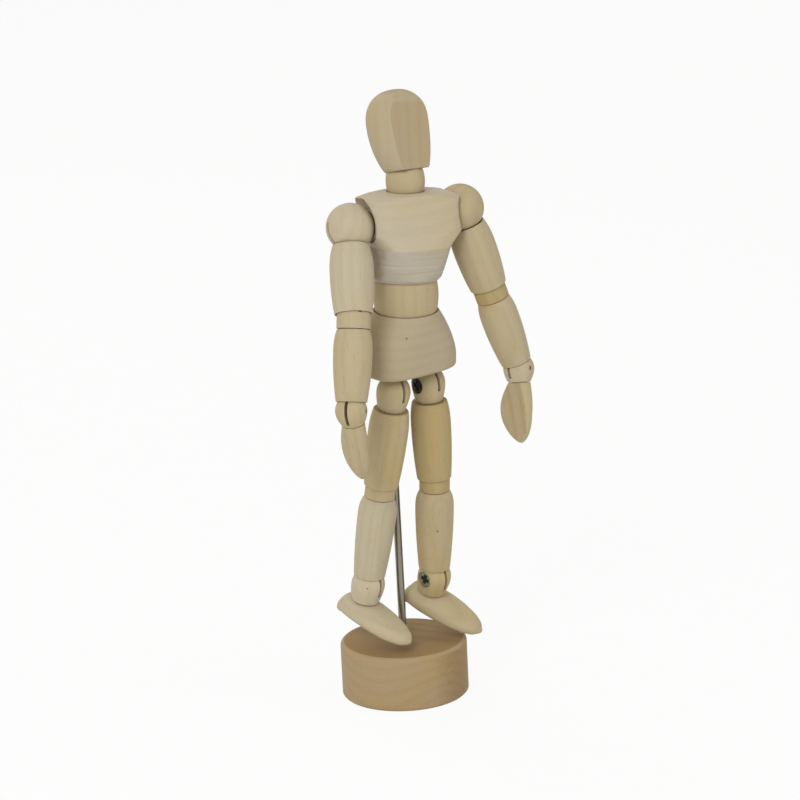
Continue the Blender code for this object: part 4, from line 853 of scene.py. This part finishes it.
def build_chest(figure):
    waist_ball = band_sphere(WAIST_BAND, WAIST_HALF)
    neck_ball = band_sphere(NECK_BAND, NECK_HALF)
    top = WAIST_HALF + CHEST_HEIGHT
    neck = top + NECK_HALF
    rings = [ring(*station[:5]) + (station[5], 0, 0) for station in chest_stations()]
    rings += dish_rings(neck_ball, NECK_HALF, neck, CHEST_BORE_HIGH * top, True)
    rings += dish_rings(waist_ball, WAIST_HALF, 0.0, CHEST_BORE_HIGH * top - 1.0, False)[::-1]
    seat = SHOULDER_BALL + GAP
    clear = math.hypot(rim_radius(SHOULDER_BALL, UPPER_ARM_RIM), UPPER_ARM_RIM) + GAP
    dish = [(0.0, seat)] + arc(seat, 90.0, 90.0 - DISH_SEAT, 16)[1:]
    for i in range(25):
        angle = math.radians((90.0 - DISH_SEAT) * (1 - i / 24))
        radius = clear + DISH_FLARE * i / 24
        dish.append((radius * math.cos(angle), radius * math.sin(angle)))
    dish.append((0.0, 0.0))
    shoulder = WAIST_HALF + SHOULDER_HEIGHT
    cutters = []
    for side, sign in SIDES.items():
        centre = (sign * SHOULDER_SPREAD / 2, 0, shoulder + ARM_POSES[side]["rise"])
        cutters.append(along_x(turned(dish, DISH_STEPS), -sign, centre))
    bore = cylinder(SPRING_BORE, SHOULDER_BORE_REACH, -SHOULDER_BORE_REACH)
    cutters.append(along_x(turned(bore, BORE_STEPS), 1, (0, 0, shoulder)))
    mesh = carved(lofted(rings, joined=True), cutters)
    sanded = WAIST_HALF + CHEST_CREASE_HEIGHT
    figure.carve("chest", mesh, PALE, 21, (90, 0, 80), 0.7, sanded=sanded)


def build_head(figure):
    neck_ball = band_sphere(NECK_BAND, NECK_HALF)
    broad = np.array([HEAD_HALF_WIDTH, HEAD_HALF_DEPTH])
    middle = NECK_HALF + HEAD_DROP
    rings = []
    for i in range(26):
        drop = HEAD_DROP * (1 - i / 26)
        size = broad * math.sqrt(1 - (drop / HEAD_TAPER) ** 2)
        rings.append(ring(*size, 2.0, middle - drop, JAW_FORWARD * (drop / HEAD_DROP) ** 2))
    for i in range(30):
        rise = math.sin(math.pi / 2 * min(i / 29, CROWN_SHARE))
        size = broad * (1 - rise**HEAD_FULLNESS) ** (1 / HEAD_FULLNESS)
        rings.append(ring(*size, 2.0, middle + HEAD_RISE * rise))
    centre = (0.0, 0.0, middle)
    face = face_normal(-FACE_SLANT)
    rings = flattened(rings, centre, face, FACE_DISTANCE, FACE_BLEND)
    rings = flattened(rings, centre, face_normal(-BROW_SLANT), BROW_DISTANCE, BROW_BLEND)
    edge = rings[0] * (JAW_INSET, JAW_INSET, 1.0)
    rings[0] = rings[0] + (0.0, 0.0, JAW_EASE)
    inner = dish_rings(neck_ball, NECK_HALF, 0.0, HEAD_PIN_HEIGHT + SPRING_BORE, False)
    mesh = lofted(inner[::-1] + [edge] + rings)
    figure.carve("head", mesh, TAN, 35, (4, 3, 0), 0.55, planed=(face, FACE, 0.1))


def build_torso(figure):
    build_chest(figure)
    build_head(figure)
    figure.carve("abdomen", bulged(WAIST_BAND, WAIST_HALF, WAIST_BULGE), SAND, 41, figure=0.8)
    figure.carve("neck", bulged(NECK_BAND, NECK_HALF, NECK_BULGE), SAND, 43, figure=0.8)
    for node in ("pelvis_pin", "head_pin", "shoulder_spring", "waist_spring", "neck_spring"):
        figure.keep(node, figure.dark_steel)


def round_ball(ball, seat, seat_radius, peg_radius=PEG_RADIUS):
    """A ball with a barrel-shaped lower half on a flat seat."""
    outline = [(0.0, ball)] + arc(ball, 90.0, 0.0, 20)[1:]
    for i in range(1, 10):
        drop = math.pi / 2 * i / 10
        outline.append((seat_radius + (ball - seat_radius) * math.cos(drop), -seat * i / 10))
    return outline + peg(seat, seat_radius, peg_radius)


def banded_ball(band, half_height):
    ball = band_sphere(band, half_height)
    edge = math.degrees(math.asin(half_height / ball))
    return [(0.0, ball)] + arc(ball, 90.0, edge, 16)[1:] + peg(half_height, band, PEG_RADIUS)


def open_slot(ball, downward=False, floor=TONGUE_EYE + SLOT_CLEARANCE):
    half_width = TONGUE_THICKNESS / 2 + SLOT_CLEARANCE
    reach = ball + GAP
    low, high = (-reach, floor) if downward else (-floor, reach)
    return block((-half_width, -reach, low), (half_width, reach, high))


def fan_slot(ball, swing):
    """A slot wide enough for a tongue to swing each way."""
    half_width = TONGUE_THICKNESS / 2 + SLOT_CLEARANCE
    eye = TONGUE_EYE + SLOT_CLEARANCE
    angle = math.radians(swing)
    reach = (ball + GAP) / math.cos(math.radians(swing / 2))
    strip = TONGUE_HALF_WIDTH + SLOT_CLEARANCE
    far = reach * math.sin(angle) + strip * math.cos(angle)
    low = reach * math.cos(angle) - strip * math.sin(angle)
    outline = arc(eye, 180.0, 360.0, 13)
    outline += [(far, low), (far, reach), (-far, reach), (-far, low)]
    rings = [np.array([(x, y, z) for y, z in outline]) for x in (half_width, -half_width)]
    return lofted(rings[::-1])


def pin_hole(ball):
    return along_x(turned(cylinder(PIN_RADIUS + FIT, ball + GAP, PIN_COVER - ball), PIN_STEPS))


def build_pin(figure, joint, ball):
    outline = cylinder(PIN_RADIUS, ball - PIN_SINK, PIN_COVER - ball + FIT)
    mesh = along_x(turned(eased(outline, PIN_EASE), PIN_STEPS))
    figure.place(joint + "_pin", mesh, figure.bright_steel)


def screw_hole(ball, side):
    step = ball - SCREW_SINK - SCREW_HEAD_HEIGHT - FIT
    outline = stepped(ball + GAP, step, PIN_COVER - ball, SCREW_HEAD_RADIUS + FIT, PIN_RADIUS + FIT)
    return along_x(turned(outline, SCREW_STEPS), side)


def build_screw(figure, joint, ball, side, material):
    """A countersunk screw with a cross recess in its head, and a near-black piece of painted shade in
    the recess.
    """
    node = joint + "_screw"
    top = ball - SCREW_SINK
    low = PIN_COVER - ball + FIT
    outline = stepped(top, top - SCREW_HEAD_HEIGHT, low, SCREW_HEAD_RADIUS, PIN_RADIUS)
    recess = cross(CROSS_REACH, CROSS_HALF_WIDTH, top - CROSS_DEPTH, top + CROSS_PAST)
    mesh = carved(turned(eased(outline, STEEL_EASE), SCREW_STEPS), [recess])
    figure.place(node, along_x(mesh, side), material)
    # a near-black piece of painted shade that darkens the cross recess
    size = (CROSS_REACH - SHADE_PIECE_ROOM, CROSS_HALF_WIDTH - SHADE_PIECE_ROOM)
    shade_piece = cross(*size, top - SHADE_PIECE_FOOT, top - SHADE_PIECE_TOP)
    figure.add(node + "_recess_shade", node, along_x(shade_piece, side), figure.shadow)


def cross(reach, half_width, low, high):
    """A cross-shaped bar along Z."""
    outline = []
    arm = [(reach, -half_width), (reach, half_width), (half_width, half_width)]
    for _ in range(4):
        outline += arm
        arm = [(-y, x) for x, y in arm]
    return lofted([np.array([(x, y, z) for x, y in outline]) for z in (low, high)])


def build_hinge(figure, joint, band, half_height, swing, looks):
    """The banded ball of an elbow or a knee, with its pin."""
    mesh = turned(eased(banded_ball(band, half_height)))
    slot = fan_slot(band_sphere(band, half_height), swing)
    figure.carve(joint + "_ball", carved(mesh, [slot, pin_hole(band)]), *looks)
    build_pin(figure, joint, band)


def build_shoulder(figure, side, looks):
    """A ball with a slot for the arm's tongue and a hole for the spring."""
    joint = side + "_shoulder"
    hole = cylinder(SPRING_BORE, TONGUE_EYE + GAP, -SHOULDER_BALL - GAP)
    hole = along_x(turned(hole, SCREW_STEPS), SIDES[side])
    hole.transform(Matrix.Rotation(-math.pi / 2, 4, "Z"))
    cutters = [open_slot(SHOULDER_BALL, True), hole, pin_hole(SHOULDER_BALL)]
    figure.carve(joint + "_ball", carved(ball_mesh(SHOULDER_BALL), cutters), *looks, (18, 10, 0), 0.8)
    build_pin(figure, joint, SHOULDER_BALL)


def build_arm(figure, side, tints, seed):
    """Shoulder ball, upper arm, elbow, forearm, wrist and hand of one side."""
    looks = [(tint, seed + i) for i, tint in enumerate(tints)]
    build_shoulder(figure, side, looks[0])

    elbow = band_sphere(ELBOW_BAND, ELBOW_HALF)
    top = (rim_radius(SHOULDER_BALL, UPPER_ARM_RIM), -UPPER_ARM_RIM)
    low = (rim_radius(elbow, ELBOW_HALF), ELBOW_HALF - UPPER_ARM_LENGTH)
    cup = [(r, -z) for r, z in socket(SHOULDER_BALL, UPPER_ARM_RIM, 0.0)]
    belly = (UPPER_ARM_RADIUS, -UPPER_ARM_BELLY)
    outline = cup[:0:-1] + swelling(top, belly, low, UPPER_ARM_CURVES)
    outline += socket(elbow, ELBOW_HALF, -UPPER_ARM_LENGTH)
    figure.carve(side + "_upper_arm", turned(eased(outline)), *looks[1])
    build_hinge(figure, side + "_elbow", ELBOW_BAND, ELBOW_HALF, ELBOW_SWING, looks[2])

    belly = (FOREARM_RADIUS, -FOREARM_BELLY)
    end = (WRIST_BALL, WRIST_RIM, FOREARM_LENGTH)
    outline = hung_limb(ELBOW_HALF, FOREARM_TOP, belly, FOREARM_CURVES, *end)
    figure.carve(side + "_forearm", turned(eased(outline)), *looks[3])

    outline = round_ball(WRIST_BALL, WRIST_SEAT, WRIST_SEAT_RADIUS, WRIST_PEG)
    cutters = [open_slot(WRIST_BALL, floor=WRIST_SLOT_FLOOR), pin_hole(WRIST_BALL)]
    figure.carve(side + "_wrist_ball", carved(turned(eased(outline)), cutters), *looks[4])
    build_pin(figure, side + "_wrist", WRIST_BALL)
    build_hand(figure, side, looks[5])
    for joint in ("shoulder", "elbow", "wrist"):
        figure.keep(f"{side}_{joint}_tongue", figure.dark_steel)


def build_hand(figure, side, looks):
    """A leaf-shaped hand with a flat palm, hung on the wrist's peg."""
    seat = WRIST_SEAT + SEAT_GAP
    broad = np.array([HAND_HALF_WIDTH, HAND_HALF_THICKNESS])
    rings = []
    for i in range(41):
        share = math.sin(math.pi / 2 * i / 41)
        if share < HAND_BROAD:
            full = math.sin(math.pi / 2 * share / HAND_BROAD)
            size = WRIST_SEAT_RADIUS + (broad - WRIST_SEAT_RADIUS) * full
        else:
            size = broad * (1 - ((share - HAND_BROAD) / (1 - HAND_BROAD)) ** 2) ** HAND_TAPER
        aside = -SIDES[side] * HAND_ASIDE * math.sin(math.pi * share)
        height = -seat - HAND_LENGTH * share
        rings.append(ring(*size, 2.0, height, 0.0, LIMB_SIDES) + (aside, 0, 0))
    palm = face_normal(PALM_SLANT, SIDES[side] * PALM_TURN)
    rings = flattened(rings, (0.0, 0.0, -seat), palm, PALM_DISTANCE, PALM_BLEND)
    inner = rings[0] * (WRIST_INSET, WRIST_INSET, 1.0)
    rings[0] = rings[0] - (0.0, 0.0, WRIST_EASE)
    ends = (-WRIST_SEAT - PEG_LENGTH - GAP, -seat)
    hole = [round_ring(WRIST_PEG + FIT, height, LIMB_SIDES) for height in ends]
    mesh = lofted((hole + [inner] + rings)[::-1])
    # the palm's flat face gets painted shade
    figure.carve(side + "_hand", mesh, *looks, planed=(palm, PALM_PAINTED_SHADE, 0.3))


def build_leg(figure, side, tints, seed):
    """Hip ball, thigh, knee, shin, ankle and foot of one side."""
    looks = [(tint, seed + i) for i, tint in enumerate(tints)]
    inward = -SIDES[side]
    hip, ankle = side + "_hip", side + "_ankle"
    mesh = turned(eased(round_ball(HIP_BALL, HIP_SEAT, HIP_SEAT_RADIUS)))
    mesh = carved(mesh, [open_slot(HIP_BALL), screw_hole(HIP_BALL, inward)])
    figure.carve(hip + "_ball", mesh, *looks[0])
    build_screw(figure, hip, HIP_BALL, inward, figure.screw_steel["hip"])

    belly = (THIGH_RADIUS, -THIGH_BELLY)
    end = (band_sphere(KNEE_BAND, KNEE_HALF), KNEE_HALF, THIGH_LENGTH)
    outline = hung_limb(HIP_SEAT, THIGH_TOP, belly, THIGH_CURVES, *end)
    figure.carve(side + "_thigh", turned(eased(outline)), *looks[1])
    build_hinge(figure, side + "_knee", KNEE_BAND, KNEE_HALF, KNEE_SWING, looks[2])

    belly = (SHIN_RADIUS, -SHIN_BELLY)
    end = (ANKLE_BALL, ANKLE_RIM, SHIN_LENGTH)
    outline = hung_limb(KNEE_HALF, SHIN_TOP, belly, SHIN_CURVES, *end)
    figure.carve(side + "_shin", turned(eased(outline)), *looks[3])

    outline = round_ball(ANKLE_BALL, ANKLE_SEAT, ANKLE_SEAT_RADIUS)
    mesh = turned(eased(outline[:-3]) + outline[-3:])
    slot = open_slot(ANKLE_BALL, floor=ANKLE_SLOT_FLOOR)
    mesh = carved(mesh, [slot, screw_hole(ANKLE_BALL, inward)])
    figure.carve(ankle + "_ball", mesh, *looks[4])
    build_screw(figure, ankle, ANKLE_BALL, inward, figure.screw_steel["ankle"])
    build_foot(figure, side, looks[5])
    for joint in ("hip", "knee", "ankle"):
        figure.keep(f"{side}_{joint}_tongue", figure.dark_steel)


def through(values, knots, places):
    """A smooth curve through values at knots, which rise, read at places."""
    slopes = np.gradient(values, knots)
    index = np.clip(np.searchsorted(knots, places, "right") - 1, 0, len(knots) - 2)
    span = knots[index + 1] - knots[index]
    t = (places - knots[index]) / span
    first = (1 + 2 * t) * (1 - t) ** 2 * values[index] + t * (1 - t) ** 2 * span * slopes[index]
    second = t**2 * (3 - 2 * t) * values[index + 1] + t**2 * (t - 1) * span * slopes[index + 1]
    return first + second


def cap_rings(rings, bulge):
    """The rings with two smaller ones after the last, which bulge along Y."""
    edge = rings[-1]
    centre = edge.mean(0)
    caps = []
    for inset in (0.82, 0.45):
        caps.append(centre + (edge - centre) * inset + (0.0, bulge * math.sqrt(1 - inset**2), 0.0))
    return rings + caps


def build_foot(figure, side, looks):
    """A shoe-shaped foot with a flat round seat for the ankle."""
    seat = ANKLE_SEAT + GAP
    stations = np.array(FOOT_STATIONS[::-1])
    reach = np.where(stations[:, 0] > 0, FOOT_HEEL, FOOT_TOE)
    knots = stations[:, 0] * reach
    ease = 0.5 - 0.5 * np.cos(np.linspace(0, math.pi, 64))
    places = knots[0] + (knots[-1] - knots[0]) * ease
    broad, top, sole = (through(stations[:, k], knots, places) for k in (1, 2, 3))
    turn = math.radians(FOOT_SLOPE)
    rings = []
    for y, width, high, low in zip(places, broad, top, sole):
        half = (high - low) / 2 * FOOT_HEIGHT
        flat = ring(width * FOOT_HALF_WIDTH, half, FOOT_SQUARENESS, 0.0, 0.0, LIMB_SIDES)
        pinch = 1 - FOOT_PINCH * ((flat[:, 1] / half + 1) / 2) ** 2
        z = ((high + low) / 2 - 1) * FOOT_HEIGHT + flat[:, 1]
        along = y * math.cos(turn) - z * math.sin(turn)
        upward = y * math.sin(turn) + z * math.cos(turn) - seat
        rings.append(np.column_stack([flat[:, 0] * pinch, along, upward]))
    rings = cap_rings(rings, FOOT_CAP_BULGE)
    rings = cap_rings(rings[::-1], -FOOT_CAP_BULGE)[::-1]
    bottom = -ANKLE_SEAT - PEG_LENGTH - GAP
    hole = stepped(0.0, -seat, bottom, ANKLE_SEAT_RADIUS + FOOT_SEAT_ROOM, PEG_RADIUS + FIT)
    figure.carve(side + "_foot", carved(lofted(rings), [turned(hole)]), *looks, (90, 0, 0))


# Studio


def build_studio():
    scene = bpy.context.scene
    scene.view_settings.view_transform = "Standard"
    scene.world = bpy.data.worlds.new("studio")
    sky = Shader(scene.world)
    sky.tree.nodes.clear()
    soft = sky.node("Background", Color=(1.0, 0.98, 0.95), Strength=0.60)
    white = sky.node("Background", Color=WHITE, Strength=1.0)
    mix = sky.node("MixShader", sky.seen(), soft.outputs[0], white.outputs[0])
    sky.node("OutputWorld", mix.outputs[0])

    floor_mesh = turned(cylinder(FLOOR_RADIUS, 0.0, -FLOOR_DEPTH), DISH_STEPS)
    floor_mesh.transform(Matrix.Scale(MM, 4))
    floor = bpy.data.objects.new("floor", floor_mesh)
    scene.collection.objects.link(floor)
    floor.location.z = -FLOOR_DROP * MM
    floor_mesh.materials.append(floor_material())

    lamp("key", (-0.85, -0.50, 0.80), 0.6, 6.2, (1.0, 0.985, 0.96))
    lamp("fill", (0.55, -0.85, 0.45), 0.8, 1.5, (0.97, 0.985, 1.0))
    lamp("back", (0.15, 0.8, 0.8), 0.6, 1.8, (1.0, 0.99, 0.97))


def floor_material():
    """A pale floor that the camera sees near white, with the object's soft shadow."""
    shader = Shader(bpy.data.materials.new("floor_paint"))
    mottle = shader.noise(shader.node("TexCoord").outputs["Object"], 60.0)
    tone = shader.ramp(mottle, (0.3, [0.86] * 3), (0.7, [0.88] * 3))
    paint = shader.paint({"Base Color": tone, "Roughness": 0.9, "Specular IOR Level": 0.1})
    white = shader.node("Emission", Color=WHITE, Strength=1.0)
    share = shader.scaled(shader.seen(), FLOOR_WHITE)
    mix = shader.node("MixShader", share, paint, white.outputs[0])
    shader.plug(shader.tree.nodes["Material Output"].inputs["Surface"], mix.outputs[0])
    return shader.owner


def lamp(name, place, size, power, colour):
    light = bpy.data.lights.new(name, "AREA")
    light.shape = "DISK"
    light.size = size
    light.energy = power
    light.color = colour
    item = bpy.data.objects.new(name, light)
    bpy.context.scene.collection.objects.link(item)
    item.location = place
    aim = Vector((0, 0, 0.1)) - Vector(place)
    item.rotation_euler = aim.to_track_quat("-Z", "Y").to_euler()


def build_camera():
    azimuth = math.radians(CAMERA_AZIMUTH)
    heading = Matrix.Rotation(azimuth + math.radians(CAMERA_HEADING), 4, "Z")
    pitch = Matrix.Rotation(math.radians(90.0 - CAMERA_PITCH), 4, "X")
    roll = Matrix.Rotation(math.radians(CAMERA_ROLL), 4, "Z")
    across, back = CAMERA_DISTANCE * math.sin(azimuth), -CAMERA_DISTANCE * math.cos(azimuth)
    place = Matrix.Translation((across, back, BASE_HEIGHT * MM + CAMERA_RISE))
    camera = bpy.data.cameras.new("camera")
    camera.sensor_width = SENSOR
    camera.lens = SENSOR * CAMERA_FOCUS / PICTURE
    camera.clip_start = 0.01
    item = bpy.data.objects.new("camera", camera)
    bpy.context.scene.collection.objects.link(item)
    item.matrix_world = place @ heading @ pitch @ roll
    bpy.context.scene.camera = item


def main():
    for item in list(bpy.data.objects):
        bpy.data.objects.remove(item, do_unlink=True)
    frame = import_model()
    build_camera()
    build_studio()
    figure = Figure(frame, pose_frames())
    build_stand(figure)
    build_pelvis(figure)
    build_torso(figure)
    build_arm(figure, "right", (PALE, CREAM, BUFF, BUFF, BUFF, SAND), 100)
    build_arm(figure, "left", (SAND, BUFF, AMBER, BUFF, CREAM, BUFF), 200)
    build_leg(figure, "right", (BUFF, HONEY, HONEY, CREAM, IVORY, CREAM), 300)
    build_leg(figure, "left", (SAND, AMBER, AMBER, SAND, HONEY, BUFF), 400)


main()
